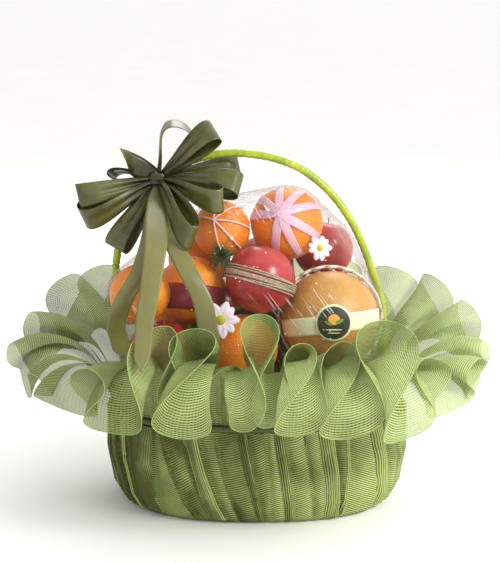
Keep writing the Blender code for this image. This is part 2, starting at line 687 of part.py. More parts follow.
def build_star(name, fruit_name, arms, half_width, finish, group):
    """Ribbon or cord crossed at the stem end, with arms down over the fruit."""
    centre, radius = fruit(fruit_name)
    axis = facing(*next(entry[4] for entry in FRUITS if entry[0] == fruit_name))
    level, upright = frame_on(axis)
    lift = radius + TRIM_GAP + TRIM_THICKNESS / 2
    order = sorted(arms)
    core = half_width / lift * STAR_CORE

    def on_skin(polar, angle):
        ring = level * math.cos(angle) + upright * math.sin(angle)
        return centre + (ring * math.sin(polar) + axis * math.cos(polar)) * lift

    body = bmesh.new()
    middle = body.verts.new(on_skin(0.0, 0.0))
    ring = []
    for arm in order:
        for edge in (-1, 1):
            spread = math.asin(min(1.0, half_width / (lift * math.sin(core))))
            ring.append(body.verts.new(on_skin(core, math.radians(arm) + edge * spread)))
    for index, corner in enumerate(ring):
        body.faces.new((middle, corner, ring[(index + 1) % len(ring)]))
    for index, arm in enumerate(order):
        left, right = ring[2 * index], ring[2 * index + 1]
        for step in range(1, STAR_STEPS + 1):
            polar = mix(core, math.radians(STAR_REACH), step / STAR_STEPS)
            spread = math.asin(min(1.0, half_width / (lift * math.sin(polar))))
            next_left = body.verts.new(on_skin(polar, math.radians(arm) - spread))
            next_right = body.verts.new(on_skin(polar, math.radians(arm) + spread))
            body.faces.new((left, next_left, next_right, right))
            left, right = next_left, next_right
    bmesh.ops.recalc_face_normals(body, faces=body.faces)
    mesh = bpy.data.meshes.new(name)
    body.to_mesh(mesh)
    body.free()
    thicken(add_object(name, mesh, finish, group), TRIM_THICKNESS)


def build_foam(finish, group):
    """Foam net cup behind the pear, with a scalloped rim."""
    centre, radius = fruit("pear_banded")
    axis = facing(*FOAM_LOOK)
    level, upright = frame_on(axis)
    lift = radius + FOAM_GAP + FOAM_THICKNESS / 2

    def place(u, v):
        angle = u * math.tau
        rim = FOAM_COVER[1] + FOAM_SCALLOP_DEPTH * math.cos(FOAM_SCALLOPS * angle)
        polar = math.radians(mix(FOAM_COVER[0], rim, v))
        ring = level * math.cos(angle) + upright * math.sin(angle)
        return centre + (ring * math.sin(polar) + axis * math.cos(polar)) * lift
    mesh = sheet_mesh(FOAM_COLUMNS, FOAM_ROWS, place, closed=True)
    foam = add_object("foam_net", mesh, finish, group)
    thicken(foam, FOAM_THICKNESS)


def build_label(finish, group):
    """Round label over the pear's paper band."""
    centre, radius = fruit("pear_banded")
    axis = facing(*LABEL_LOOK)
    level, upright = frame_on(axis)
    lift = radius + LABEL_LIFT

    def place(u, v):
        angle = u * math.tau
        polar = LABEL_RADIUS / lift * v
        ring = level * math.cos(angle) + upright * math.sin(angle)
        return centre + (ring * math.sin(polar) + axis * math.cos(polar)) * lift
    mesh = sheet_mesh(LABEL_COLUMNS, LABEL_ROWS, place, closed=True)
    thicken(add_object("pear_label", mesh, finish, group), TRIM_THICKNESS)


def underside(x, y, slack):
    """Lowest level that a fruit allows at a point of the plan, with slack round it."""
    level = 1.0
    for _, centre, radius, kind, _ in FRUITS:
        reach = radius + FILLER_CLEARANCE + (FOAM_THICKNESS if kind == "pear" else 0.0)
        away = max(math.hypot(x - centre[0], y - centre[1]) - slack, 0.0)
        if away < reach:
            level = min(level, centre[2] - math.sqrt(reach ** 2 - away ** 2))
    return level


def build_filler(finish, group):
    """Mound of shredded filler in the tub, pressed to the fruit that lies on it."""
    rows = len(FILLER_SIDES) + FILLER_RINGS + 1

    def place(share, row):
        if row == 0:
            return Vector((0, 0, FILLER_SIDES[0][0]))
        if row <= len(FILLER_SIDES):
            height, half_width, half_depth = FILLER_SIDES[row - 1]
            return Vector((*oval(half_width, half_depth, share * math.tau), height))
        ring = max(1.0 - (row - len(FILLER_SIDES) - 1) / FILLER_RINGS, 0.0)
        x, y = oval(FILLER_HALF_WIDTH * ring, FILLER_HALF_DEPTH * ring, share * math.tau)
        dome = FILLER_RIM + FILLER_RISE * (1.0 - ring ** 2)
        slack = mix(*FILLER_SLACK, ring)
        return Vector((x, y, min(dome, underside(x, y, slack))))
    add_object("filler", ball(FILLER_COLUMNS, rows, place), finish, group)


def build_film(finish, group):
    """Clear film over the fruit: the tight outer form, open at the foot."""
    body = bmesh.new()
    for name, centre, radius, kind, _ in FRUITS:
        spread = radius + FILM_STAND_OFF + (1.5 * FOAM_THICKNESS if kind == "pear" else 0.0)
        bmesh.ops.create_icosphere(body, subdivisions=2, radius=spread,
                                   matrix=Matrix.Translation(centre))
    for centre, reach, look, _ in DAISIES.values():
        axis = facing(*look)
        level, upright = frame_on(axis)
        for step in range(FILM_DAISY_STEPS):
            angle = math.tau * step / FILM_DAISY_STEPS
            rim = (level * math.cos(angle) + upright * math.sin(angle)) * reach
            body.verts.new(Vector(centre) + rim + axis * FILM_OVER_DAISY)
    for step in range(FILM_FOOT_STEPS):
        x, y = oval(FILM_HALF_WIDTH, FILM_HALF_DEPTH, math.tau * step / FILM_FOOT_STEPS)
        body.verts.new((x, y, FILM_FOOT))
        body.verts.new((x, y, FILM_FOOT - FILM_CUT))
    hull = bmesh.ops.convex_hull(body, input=body.verts, use_existing_faces=False)
    kept = {item for item in hull["geom"] if isinstance(item, bmesh.types.BMFace)}
    loose = [face for face in body.faces if face not in kept]
    bmesh.ops.delete(body, geom=loose, context="FACES_ONLY")
    bmesh.ops.delete(body, geom=[edge for edge in body.edges if not edge.link_faces], context="EDGES")
    bmesh.ops.delete(body, geom=[vertex for vertex in body.verts if not vertex.link_faces],
                     context="VERTS")
    for level in FILM_PINCH:
        bmesh.ops.bisect_plane(body, geom=body.verts[:] + body.edges[:] + body.faces[:],
                               plane_co=(0, level, 0), plane_no=(0, 1, 0))
    bmesh.ops.bisect_plane(body, geom=body.verts[:] + body.edges[:] + body.faces[:],
                           plane_co=(0, 0, FILM_FOOT), plane_no=(0, 0, -1), clear_outer=True)
    pull_film_in(body)
    bmesh.ops.remove_doubles(body, verts=body.verts, dist=0.0003)
    bmesh.ops.recalc_face_normals(body, faces=body.faces)
    mesh = bpy.data.meshes.new("film")
    body.to_mesh(mesh)
    body.free()
    thicken(add_object("film", mesh, finish, group), FILM_THICKNESS, offset=-1.0)


def pull_film_in(body):
    """Move the film's vertices beside the handle inwards, clear of it."""
    path = handle_path(200)
    spare = HANDLE_RADIUS + FILM_PINCH_GAP
    for vertex in body.verts:
        if abs(vertex.co.y) > FILM_PINCH_REACH:
            continue
        for side in (-1, 1):
            legs = [point for point in path if point.x * side > 0.06]
            near = min(legs, key=lambda point: abs(point.z - vertex.co.z))
            limit = near.x * side - spare
            if vertex.co.x * side > limit:
                vertex.co.x = limit * side


def loop_mesh(direction, length, opening, roll, sag):
    """Ribbon loop out of the knot and back, narrow where it is gathered."""
    axis = facing(*direction)
    level = axis.cross(facing(0, 0, 1)).normalized()
    turn = math.radians(roll)
    lift = (level * math.cos(turn) + axis.cross(level) * math.sin(turn)).normalized()
    side = axis.cross(lift).normalized()
    centre = Vector(KNOT_CENTRE)

    def place(u, v):
        swell = math.sin(math.pi * u)
        out = LOOP_ROOT + (length - LOOP_ROOT) * swell ** 0.8
        apart = opening * math.sin(math.tau * u) * mix(0.55, 1.0, swell)
        apart += LOOP_ROOT_GAP * math.cos(math.pi * u)
        wide = RIBBON_WIDTH / 2 * mix(GATHERED_SHARE, 1.0, swell ** 0.55)
        drop = Vector((0, 0, -sag * swell ** 2))
        return centre + axis * out + lift * apart + side * mix(-wide, wide, v) + drop
    return sheet_mesh(LOOP_STEPS, 1, place)


def build_bow(finish, group, parts):
    """Bow on the handle: a knot with its loops, bored for the handle."""
    centre = Vector(KNOT_CENTRE)

    def knot_place(share, row):
        polar = math.pi * (1 - row / KNOT_ROWS)
        angle = share * math.tau
        return centre + Vector((KNOT_SIZE[0] * math.sin(polar) * math.cos(angle),
                                KNOT_SIZE[1] * math.sin(polar) * math.sin(angle),
                                KNOT_SIZE[2] * math.cos(polar)))
    bow = add_object("bow", ball(KNOT_COLUMNS, KNOT_ROWS, knot_place), finish, group)
    for index, loop in enumerate(BOW_LOOPS):
        piece = add_object(f"loop_{index}", loop_mesh(*loop), finish, parts)
        thicken(piece, RIBBON_THICKNESS)
    piece = add_object("loop_end", pointed_mesh(*POINTED_END), finish, parts)
    thicken(piece, RIBBON_THICKNESS)
    bpy.context.view_layer.update()
    boolean(bow, "UNION", group=parts)
    bore = tube_as_mesh("bow_bore", handle_path(), HANDLE_RADIUS + GAP, finish, parts)
    bpy.context.view_layer.update()
    boolean(bow, "DIFFERENCE", cutter=bore)
    keep_largest_body(bow)


def keep_largest_body(thing):
    """Drop loose scraps that a cut left behind."""
    body = bmesh.new()
    body.from_mesh(thing.data)
    bmesh.ops.remove_doubles(body, verts=body.verts, dist=0.00001)
    islands = []
    unseen = set(body.verts)
    while unseen:
        stack = [unseen.pop()]
        island = set(stack)
        while stack:
            for edge in stack.pop().link_edges:
                for vertex in edge.verts:
                    if vertex not in island:
                        island.add(vertex)
                        unseen.discard(vertex)
                        stack.append(vertex)
        islands.append(island)
    largest = max(islands, key=len)
    bmesh.ops.delete(body, geom=[vertex for vertex in body.verts if vertex not in largest],
                     context="VERTS")
    body.to_mesh(thing.data)
    body.free()


def pointed_mesh(direction, length):
    """Short ribbon end with a slanted cut that stands up from the knot."""
    axis = facing(*direction)
    side = axis.cross(facing(0, 0, 1)).normalized()
    lift = axis.cross(side)
    centre = Vector(KNOT_CENTRE)

    def place(u, v):
        wide = RIBBON_WIDTH / 2 * math.sin(math.pi * min(1.0, 0.22 + u * 0.5)) * (1.0 - 0.25 * u)
        edge = mix(-wide, wide, v)
        slant = length * (1.0 - POINTED_SLANT * (1 - v) * u)
        return centre + axis * (0.003 + slant * u) + side * edge + lift * 0.006 * math.sin(3 * u)
    return sheet_mesh(POINTED_STEPS, 1, place)


def build_tail(name, finish, group):
    """Hanging ribbon end."""
    points, widths, turns = TAILS[name]
    path = smooth_path(points, TAIL_STEPS + 1)

    def place(u, v):
        if u < TAIL_SPREAD:
            wide = mix(widths[0], widths[1], u / TAIL_SPREAD)
        else:
            wide = mix(widths[1], widths[2], (u - TAIL_SPREAD) / (1 - TAIL_SPREAD))
        turn = math.radians(mix(turns[0], turns[1], u))
        side = Vector((math.cos(turn), math.sin(turn), 0.0))
        return path[round(u * TAIL_STEPS)] + side * mix(-wide, wide, v)
    thicken(add_object(name, sheet_mesh(TAIL_STEPS, 1, place), finish, group), TAIL_THICKNESS)


def build_daisy(name, centre, reach, look, stem_end, finish, group, parts):
    """Daisy: one sheet notched into petals round a raised button, with a short stem."""
    axis = facing(*look)
    level, upright = frame_on(axis)
    centre = Vector(centre)

    def place(u, v):
        angle = u * math.tau
        petal = math.sin(angle * PETALS / 2) ** 2
        out = reach * v * mix(1.0, mix(PETAL_NOTCH, 1.0, petal), v)
        button = BUTTON_RISE if v < BUTTON_SHARE else 0.0
        lift = reach * (PETAL_RISE * math.sin(math.pi * v) + button)
        ring = level * math.cos(angle) + upright * math.sin(angle)
        return centre + ring * out + axis * lift
    daisy = add_object(name, sheet_mesh(PETALS * 3, 2, place, closed=True), finish, group)
    thicken(daisy, PETAL_THICKNESS)
    start = centre + axis * STEM_RADIUS
    path = smooth_path([start, (centre + Vector(stem_end)) / 2, stem_end], 4)
    tube_as_mesh(f"{name}_stem", path, STEM_RADIUS, finish, parts)
    bpy.context.view_layer.update()
    boolean(daisy, "UNION", group=parts)
    keep_largest_body(daisy)


def build_tuft(name, centre, core, reach, finish, group):
    """Tuft of needles: a small ball whose faces are drawn out into spikes clear of the fruit."""
    draw = random.Random(SEED)
    body = bmesh.new()
    bmesh.ops.create_uvsphere(body, u_segments=TUFT_COLUMNS, v_segments=TUFT_ROWS, radius=core)
    spikes = bmesh.ops.poke(body, faces=body.faces[:])["verts"]
    for spike in sorted(spikes, key=lambda spike: [round(part, 6) for part in spike.co]):
        way = spike.co.normalized()
        length = mix(core, reach, draw.uniform(0.35, 1.0))
        while length > core and touches_fruit(Vector(centre) + way * length, NEEDLE_GAP):
            length -= NEEDLE_STEP
        spike.co = way * max(length, core * 0.98)
    for vertex in body.verts:
        vertex.co += Vector(centre)
    mesh = bpy.data.meshes.new(name)
    body.to_mesh(mesh)
    body.free()
    add_object(name, mesh, finish, group, smooth=False)


def touches_fruit(point, spare):
    """Whether a point lies within a small distance of any fruit."""
    return any((point - Vector(centre)).length < radius + spare
               for _, centre, radius, _, _ in FRUITS)


def main():
    """Build every piece of the basket."""
    clear_scene()
    group = new_collection("fruit_gift_basket")
    cutters = new_collection("cutters")
    parts = new_collection("parts_to_join")
    mesh_green = material("mesh_green", (0.33, 0.50, 0.17), 0.55)
    tub_green = material("tub_green", (0.10, 0.14, 0.05), 0.6)
    band_green = material("band_green", (0.09, 0.13, 0.06), 0.5)
    handle_green = material("handle_green", (0.42, 0.60, 0.03), 0.35)
    satin = material("satin_olive", (0.14, 0.15, 0.06), 0.3)
    filler_brown = material("filler_brown", (0.20, 0.16, 0.08), 0.8)
    film_clear = material("film_clear", (0.95, 0.95, 0.95), 0.05, alpha=0.18)
    skins = {
        "orange": material("orange_skin", (0.85, 0.26, 0.02), 0.4),
        "apple": material("apple_skin", (0.42, 0.03, 0.04), 0.3),
        "pear": material("pear_skin", (0.68, 0.36, 0.09), 0.45),
    }
    pink = material("pink_ribbon", (0.80, 0.45, 0.55), 0.4)
    cord_pink = material("pink_cord", (0.85, 0.60, 0.60), 0.4)
    dark_red = material("dark_red_band", (0.26, 0.02, 0.03), 0.4)
    jute = material("jute", (0.50, 0.38, 0.26), 0.9)
    cream = material("cream_paper", (0.80, 0.83, 0.50), 0.5)
    label_dark = material("label_dark", (0.02, 0.03, 0.01), 0.4)
    foam = material("white_foam", (0.85, 0.80, 0.72), 0.8)
    petal = material("daisy_petal", (0.85, 0.72, 0.82), 0.6)
    needle = material("needle_green", (0.03, 0.10, 0.02), 0.6)

    build_tub(tub_green, group, cutters)
    build_skin(mesh_green, group, cutters)
    build_tie_band(band_green, group)
    build_ruffle(mesh_green, group)
    build_handle(handle_green, group)
    build_filler(filler_brown, group)
    for entry in FRUITS:
        build_fruit(entry, skins[entry[3]], group)
    build_star("pink_star", "orange_top", STAR_ARMS, STAR_HALF_WIDTH, pink, group)
    build_star("cord_star", "orange_corded", CORD_ARMS, CORD_HALF_WIDTH, cord_pink, group)
    build_belt("red_band", dark_red, group)
    build_belt("jute_twine", jute, group)
    build_belt("pear_band", cream, group)
    build_label(label_dark, group)
    build_foam(foam, group)
    for name, (centre, reach, look, stem_end) in DAISIES.items():
        build_daisy(name, centre, reach, look, stem_end, petal, group, parts)
    for name, (centre, core, reach) in TUFTS.items():
        build_tuft(name, centre, core, reach, needle, group)
    build_film(film_clear, group)
    build_bow(satin, group, parts)
    for name in TAILS:
        build_tail(name, satin, group)


main()
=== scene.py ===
"""Looks of the fruit gift basket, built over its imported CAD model.

Metres, +Z up, X to the right, Y to the back, as in the frame. Each piece keeps the form and the
place of the CAD node that it replaces, with the finer shape and finish of the real thing.
"""
import bisect
import json
import random
from math import (acos, asin, atan2, copysign, cos, exp, hypot, pi, radians, sin, sqrt,
                  tau)

import bmesh
import bpy
from mathutils import Matrix, Vector, noise

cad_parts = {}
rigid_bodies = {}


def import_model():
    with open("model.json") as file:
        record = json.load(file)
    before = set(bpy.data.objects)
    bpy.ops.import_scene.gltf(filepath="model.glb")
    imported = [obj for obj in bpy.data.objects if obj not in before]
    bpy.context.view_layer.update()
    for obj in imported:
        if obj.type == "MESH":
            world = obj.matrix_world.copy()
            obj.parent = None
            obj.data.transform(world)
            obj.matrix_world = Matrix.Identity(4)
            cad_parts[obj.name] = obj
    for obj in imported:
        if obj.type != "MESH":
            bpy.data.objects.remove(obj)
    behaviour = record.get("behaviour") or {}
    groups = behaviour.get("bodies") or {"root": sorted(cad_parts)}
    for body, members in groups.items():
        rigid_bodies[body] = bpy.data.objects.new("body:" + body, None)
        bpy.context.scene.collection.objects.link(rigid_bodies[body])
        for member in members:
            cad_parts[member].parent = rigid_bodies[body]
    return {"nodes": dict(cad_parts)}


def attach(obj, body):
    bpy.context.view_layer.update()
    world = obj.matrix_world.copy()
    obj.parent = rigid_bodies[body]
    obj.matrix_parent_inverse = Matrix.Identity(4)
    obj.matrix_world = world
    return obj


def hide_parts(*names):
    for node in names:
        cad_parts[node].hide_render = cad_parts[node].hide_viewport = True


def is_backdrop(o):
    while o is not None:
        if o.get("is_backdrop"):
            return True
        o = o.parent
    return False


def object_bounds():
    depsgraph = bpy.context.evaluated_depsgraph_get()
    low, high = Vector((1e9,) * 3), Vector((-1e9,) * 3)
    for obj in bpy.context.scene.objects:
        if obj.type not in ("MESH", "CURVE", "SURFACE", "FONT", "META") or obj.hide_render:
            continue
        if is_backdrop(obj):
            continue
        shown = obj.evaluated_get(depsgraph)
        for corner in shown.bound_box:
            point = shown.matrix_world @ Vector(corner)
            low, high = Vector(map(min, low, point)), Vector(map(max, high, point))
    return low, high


BODY = "root"
SEED = 11

# Camera: 12 degrees above level, looking at a point in the middle of the fruit.
VIEW_ELEVATION = 12.0
VIEW_DISTANCE = 1.6
VIEW_TARGET = (-0.0075, 0.0, 0.2346)
LENS_MM = 95.6

# Tub, its skin and its band: height, half width and half depth.
SKIN_PROFILE = (
    (0.0, 0.136, 0.098),
    (0.006, 0.147, 0.107),
    (0.022, 0.156, 0.1138),
    (0.06, 0.163, 0.119),
    (0.1022, 0.162, 0.118),
)
PLAN_POWER = 2.4
RIM_HALF_WIDTH = 0.152
RIM_HALF_DEPTH = 0.112
BAND_BOTTOM = 0.1025
BAND_TOP = 0.1085

# Pleats of the skin at the front: place of the fold's top as a share of the way round from the
# front middle, how far its foot drifts to the right, and its depth. The rest are seeded.
FRONT_FOLDS = (
    (-0.165, 0.01, 0.003), (-0.124, -0.002, 0.0042), (-0.114, 0.036, 0.0046),
    (-0.088, 0.029, 0.005), (-0.07, 0.032, 0.0036), (-0.05, 0.028, 0.003),
    (-0.023, 0.024, 0.0044), (-0.012, 0.02, 0.0028), (0.0075, 0.008, 0.004),
    (0.0175, 0.019, 0.0036), (0.03, 0.017, 0.004), (0.051, 0.019, 0.0046),
    (0.068, 0.018, 0.0028), (0.085, 0.019, 0.0034), (0.105, 0.004, 0.003),
    (0.131, 0.03, 0.0046), (0.152, 0.031, 0.0034),
)
REAR_FOLDS = 30
REAR_DRIFT = (0.008, 0.03)
REAR_DEPTH = (0.0026, 0.005)
FOLD_DROP = 0.0012            # width of the step from one pleat down to the next, as a share
FOLD_GAP = 0.004              # width of the deepest gaps beside that step
SELVEDGE_FOLDS = (0, 4, 13, 14)
SKIN_COLUMNS = 1440
SKIN_ROWS = 36
SKIN_LENGTH = 1.05            # the skin's own length before it was pleated
PLEAT_SHIFT = 0.37            # step in the weave from one pleat to the next

# Ruffle, as in the CAD: one strip of mesh whose free edge turns down and up by turns.
RUFFLE_STAND_OFF = 0.002
RUFFLE_BOTTOM = 0.1098
STRIP_START_ANGLE = 82.0      # degrees above level where the strip leaves the tub
END_SLANT = 13.0              # how much less steep it leaves at the two ends of the tub
ROOT_SHARE = 0.34             # share of the strip that rises nearly straight from the tub
ROOT_CURL = 0.12              # share of the strip's curl that lies in that part
EDGE_POINT = 0.84             # 0 makes the free edge a plain wave, 1 gives it pointed lobes
WOBBLE = 0.0105               # how far the strip strays from its even form
WOBBLE_SHIFTS = (3.0, 17.0, 41.0)  # where in the noise the strip's three strays are read
# Each turn of the free edge, from the left rear round the front to the right rear: its place
# round the tub as a share of the way from the front middle, the strip's curl outwards in
# degrees, the strip's length, the lobe's fullness and its lean to the right.
EDGE_TURNS = (
    (-0.375, 130, 0.12, 0.3, 0.0), (-0.343, 40, 0.142, 0.32, 0.0),
    (-0.328, 128, 0.114, 0.28, 0.0), (-0.316, 40, 0.134, 0.34, 0.0),
    (-0.292, 130, 0.114, 0.26, 0.0), (-0.27, 70, 0.136, 0.34, 0.0),
    (-0.254, 136, 0.124, 0.24, 0.0), (-0.236, 112, 0.15, 0.34, 0.0),
    (-0.21, 150, 0.144, 0.34, 0.0), (-0.19, 116, 0.13, 0.26, 0.0),
    (-0.157, 160, 0.138, 0.5, 0.004), (-0.134, 92, 0.128, 0.22, 0.0),
    (-0.108, 198, 0.188, 0.42, -0.004), (-0.086, 30, 0.124, 0.28, 0.004),
    (-0.078, 150, 0.11, 0.14, 0.0), (-0.061, 34, 0.12, 0.44, 0.008),
    (-0.047, 204, 0.186, 0.46, -0.018), (-0.029, 70, 0.104, 0.16, 0.002),
    (-0.021, 198, 0.174, 0.24, 0.004), (0.006, 26, 0.128, 0.48, 0.0),
    (0.018, 196, 0.156, 0.18, -0.012), (0.033, 48, 0.12, 0.3, 0.01),
    (0.047, 204, 0.184, 0.36, -0.016), (0.068, 36, 0.112, 0.22, 0.01),
    (0.08, 202, 0.178, 0.42, -0.012), (0.106, 28, 0.132, 0.48, 0.006),
    (0.12, 204, 0.184, 0.34, -0.014), (0.143, 74, 0.118, 0.24, 0.006),
    (0.162, 166, 0.134, 0.46, -0.004), (0.182, 90, 0.13, 0.24, 0.0),
    (0.2, 150, 0.12, 0.46, 0.0), (0.238, 86, 0.126, 0.34, 0.0),
    (0.262, 140, 0.114, 0.28, 0.0), (0.284, 54, 0.13, 0.34, 0.0),
    (0.303, 130, 0.114, 0.28, 0.0), (0.32, 36, 0.136, 0.3, 0.0),
    (0.338, 132, 0.116, 0.28, 0.0), (0.358, 36, 0.14, 0.32, 0.0),
    (0.385, 150, 0.124, 0.32, 0.0),
)
REAR_TURNS = 9                # further turns between the last and the first of those
REAR_UPPER = (38, 0.132, 0.32)
REAR_LOWER = (168, 0.14, 0.34)
TURN_COLUMNS = 20
RUFFLE_ROWS = 22
STRIP_LENGTH = 2.6            # the strip's own length before it was gathered
STRIP_WIDTH = 0.14
RUFFLE_CREASES = ((150, 3, 0, 0.0022), (60, 7, 4, 0.0016))  # pitch round, out, shift, depth
GATHERS = 190                 # small gathers at the ruffle's foot
GATHER_DEPTH = 0.0012
THREAD_STRAY = 2.6            # how far the threads stray from straight lines, in radians
SELVEDGE_RADIUS = 0.0003

# Handle: points (x, z) in the plane y = 0.
HANDLE_RADIUS = 0.0041
HANDLE_POINTS = (
    (-0.1425, 0.062), (-0.1428, 0.128), (-0.1475, 0.175), (-0.1512, 0.215), (-0.15, 0.257),
    (-0.141, 0.295), (-0.124, 0.326), (-0.104, 0.345), (-0.075, 0.3625), (-0.034, 0.3725),
    (0.008, 0.3695), (0.04, 0.359), (0.061, 0.3455), (0.082, 0.3255), (0.102, 0.2965),
    (0.117, 0.263), (0.128, 0.231), (0.134, 0.209), (0.136, 0.17), (0.14, 0.11),
    (0.1425, 0.062),
)
WINDING_PITCH = 0.0085

# Fruit: centre, radius, kind, and the way the stem end faces (across, up, front).
FRUITS = {
    "orange_top": ((0.0315, 0.0022, 0.2971), 0.0385, "orange", (-0.21, 0.2, 0.96)),
    "orange_corded": ((-0.0373, -0.012, 0.2933), 0.0301, "orange", (-0.25, 0.29, 0.92)),
    "orange_banded": ((-0.0691, -0.0334, 0.2328), 0.0357, "orange", (0.1, 0.95, 0.25)),
    "orange_left": ((-0.1195, -0.0796, 0.2384), 0.0311, "orange", (-0.5, 0.8, -0.3)),
    "apple_twined": ((0.0034, -0.0516, 0.2478), 0.0362, "apple", (0.25, 0.9, -0.3)),
    "orange_front": ((-0.0148, -0.0529, 0.1748), 0.0362, "orange", (0.4, 0.85, 0.2)),
    "apple_right": ((0.0728, 0.0502, 0.2604), 0.0328, "apple", (0.2, 0.95, 0.1)),
    "pear_banded": ((0.0771, -0.0275, 0.201), 0.0516, "pear", (-0.15, 0.97, -0.15)),
    "apple_left": ((-0.0996, -0.0655, 0.1762), 0.0331, "apple", (0.1, 0.97, 0.2)),
    "orange_back_left": ((-0.0967, 0.0196, 0.1937), 0.034, "orange", (-0.3, 0.6, -0.7)),
    "apple_back_low": ((-0.0444, 0.0688, 0.1926), 0.036, "apple", (0.2, 0.8, -0.55)),
    "orange_back_low": ((0.0283, 0.0758, 0.1765), 0.037, "orange", (0.1, 0.7, -0.7)),
    "orange_back_high": ((-0.0626, 0.0348, 0.2532), 0.034, "orange", (-0.2, 0.8, -0.5)),
    "apple_back_high": ((0.0061, 0.0464, 0.2407), 0.035, "apple", (0.0, 0.9, -0.4)),
    "apple_back_right": ((0.091, 0.0581, 0.1987), 0.03, "apple", (0.4, 0.8, -0.4)),
}
# Forms of the fruit: the dimple at the stem and its spread, the dent below, how squat it is, its
# lobes, and the stem's height and radius.
FRUIT_SHAPES = {
    "orange": (0.035, 0.16, 0.012, 0.025, 0.004, 0.0012, 0.0024),
    "apple": (0.15, 0.34, 0.05, 0.02, 0.012, 0.0085, 0.0011),
    "pear": (0.06, 0.26, 0.03, 0.02, 0.004, 0.004, 0.002),
}
# Skins of the fruit: finish, roughness, gloss, scale of the tones, their places and colours, then
# the dots (scale, start, end, share, colour) and the bumps (scale, strength, depth).
FRUIT_SKINS = {
    "orange": ("orange_peel", 0.36, {"Subsurface_Weight": 0.05}, 28.0,
               ((0.28, (0.78, 0.19, 0.01)), (0.55, (0.86, 0.27, 0.016)), (0.78, (0.9, 0.38, 0.03))),
               (620.0, 0.0, 0.38, 0.35, (0.55, 0.11, 0.005)), (260.0, 0.55, 0.0009)),
    "apple": ("apple_red", 0.3, {"Coat_Weight": 0.15}, 24.0,
              ((0.25, (0.24, 0.01, 0.016)), (0.55, (0.42, 0.022, 0.028)), (0.8, (0.56, 0.075, 0.055))),
              (330.0, 0.0, 0.2, 0.55, (0.72, 0.42, 0.26)), (180.0, 0.1, 0.0006)),
    "pear": ("pear_skin", 0.42, {}, 20.0,
             ((0.28, (0.44, 0.205, 0.041)), (0.55, (0.56, 0.295, 0.068)), (0.8, (0.67, 0.4, 0.12))),
             (300.0, 0.05, 0.22, 0.6, (0.8, 0.62, 0.32)), (320.0, 0.15, 0.0005)),
}
FRUIT_COLUMNS = 56
FRUIT_ROWS = 36

# Trimmings on the fruit.
TRIM_GAP = 0.0006
TRIM_THICKNESS = 0.0003       # ribbons, bands, label and needles
STAR_ARMS = (100, 62, 27, -22, -62, -99, 178, 141)
STAR_HALF_WIDTH = 0.0048
CORD_ARMS = (95, 50, 3, -40, -76, 165)
CORD_RADIUS = 0.0009
PEARLS = ((50, -40), (58, 50), (60, -76))  # degrees from the crossing and round it
PEARL_RADIUS = 0.0021
STAR_REACH = 86.0
LABEL_RADIUS = 0.019
FOAM_STRANDS = 20             # in each of two directions
PETALS = 9
NEEDLES = 260
FOAM_RADIUS = 0.0016

# Film.
FILM_STAND_OFF = 0.0047
FILM_FOOT = 0.124
FILM_HALF_WIDTH = 0.134
FILM_HALF_DEPTH = 0.097
FILM_HEM = 0.002              # height of the foot that stays straight
FILM_CREASE = 0.0007
FILM_EDGES = (0.03, 0.016, 0.009)  # longest edges left, pass by pass
FILM_PINCH = (-0.014, -0.0055, 0.0055, 0.014)

# Bow: loops as (direction across, up, front), length, half opening, roll in degrees, sag.
RIBBON_WIDTH = 0.026
RIBBON_THICKNESS = 0.0005
KNOT_CENTRE = (-0.104, 0.0, 0.345)
KNOT_SIZE = (0.0125, 0.0095, 0.009)
BOW_LOOPS = (
    ((0.39, 0.86, 0.34), 0.064, 0.0165, 14, 0.0),
    ((0.72, 0.59, 0.37), 0.083, 0.011, 66, 0.0),
    ((0.97, 0.16, -0.2), 0.088, 0.01, 78, 0.0),
    ((0.94, -0.08, 0.33), 0.092, 0.012, 62, 0.001),
    ((0.75, -0.23, 0.63), 0.09, 0.011, 118, 0.006),
    ((0.37, -0.48, 0.8), 0.102, 0.0095, 128, 0.016),
    ((-0.96, -0.22, 0.19), 0.087, 0.0105, 84, 0.0),
    ((-0.88, -0.45, 0.13), 0.09, 0.015, 54, 0.0),
    ((-0.52, -0.85, 0.09), 0.086, 0.01, 112, 0.0),
    ((-0.95, 0.08, -0.3), 0.054, 0.0052, 12, 0.0),
)
POINTED_END = ((-0.79, 0.45, 0.41), 0.05)
LOOP_RIBBON = 2.2             # ribbon in a loop as a share of the loop's length

# Ribbon ends: points, half widths (top, swell, end), face turn at the top and the end.
TAIL_ROOT = (-0.104, -0.008, 0.34)
TAILS = {
    "bow_tail_front": (
        ((-0.106, -0.029, 0.327), (-0.1035, -0.056, 0.316), (-0.101, -0.097, 0.297),
         (-0.1035, -0.121, 0.272), (-0.1065, -0.142, 0.248), (-0.109, -0.164, 0.23),
         (-0.11, -0.1835, 0.21), (-0.1105, -0.206, 0.191)),
        (0.005, 0.012, 0.0075), (12, -6)),
    "bow_tail_right": (
        ((-0.0985, -0.022, 0.3205), (-0.094, -0.0515, 0.3065), (-0.082, -0.083, 0.2865),
         (-0.068, -0.1015, 0.263), (-0.055, -0.109, 0.238), (-0.049, -0.114, 0.206),
         (-0.047, -0.115, 0.188)),
        (0.0045, 0.0105, 0.01), (18, 4)),
    "bow_tail_left": (
        ((-0.1075, -0.019, 0.33), (-0.1065, -0.044, 0.315), (-0.1085, -0.08, 0.293),
         (-0.1165, -0.1085, 0.268), (-0.133, -0.118, 0.24), (-0.1405, -0.1175, 0.215),
         (-0.1375, -0.113, 0.197), (-0.135, -0.1115, 0.18)),
        (0.0045, 0.01, 0.01), (-24, 38)),
}
TAIL_STEPS = 60
TAIL_SPREAD = 0.286           # share of its length over which a ribbon end widens
POINTED_TAILS = ("bow_tail_front", "bow_tail_left")
POINT_SHARE = 0.07
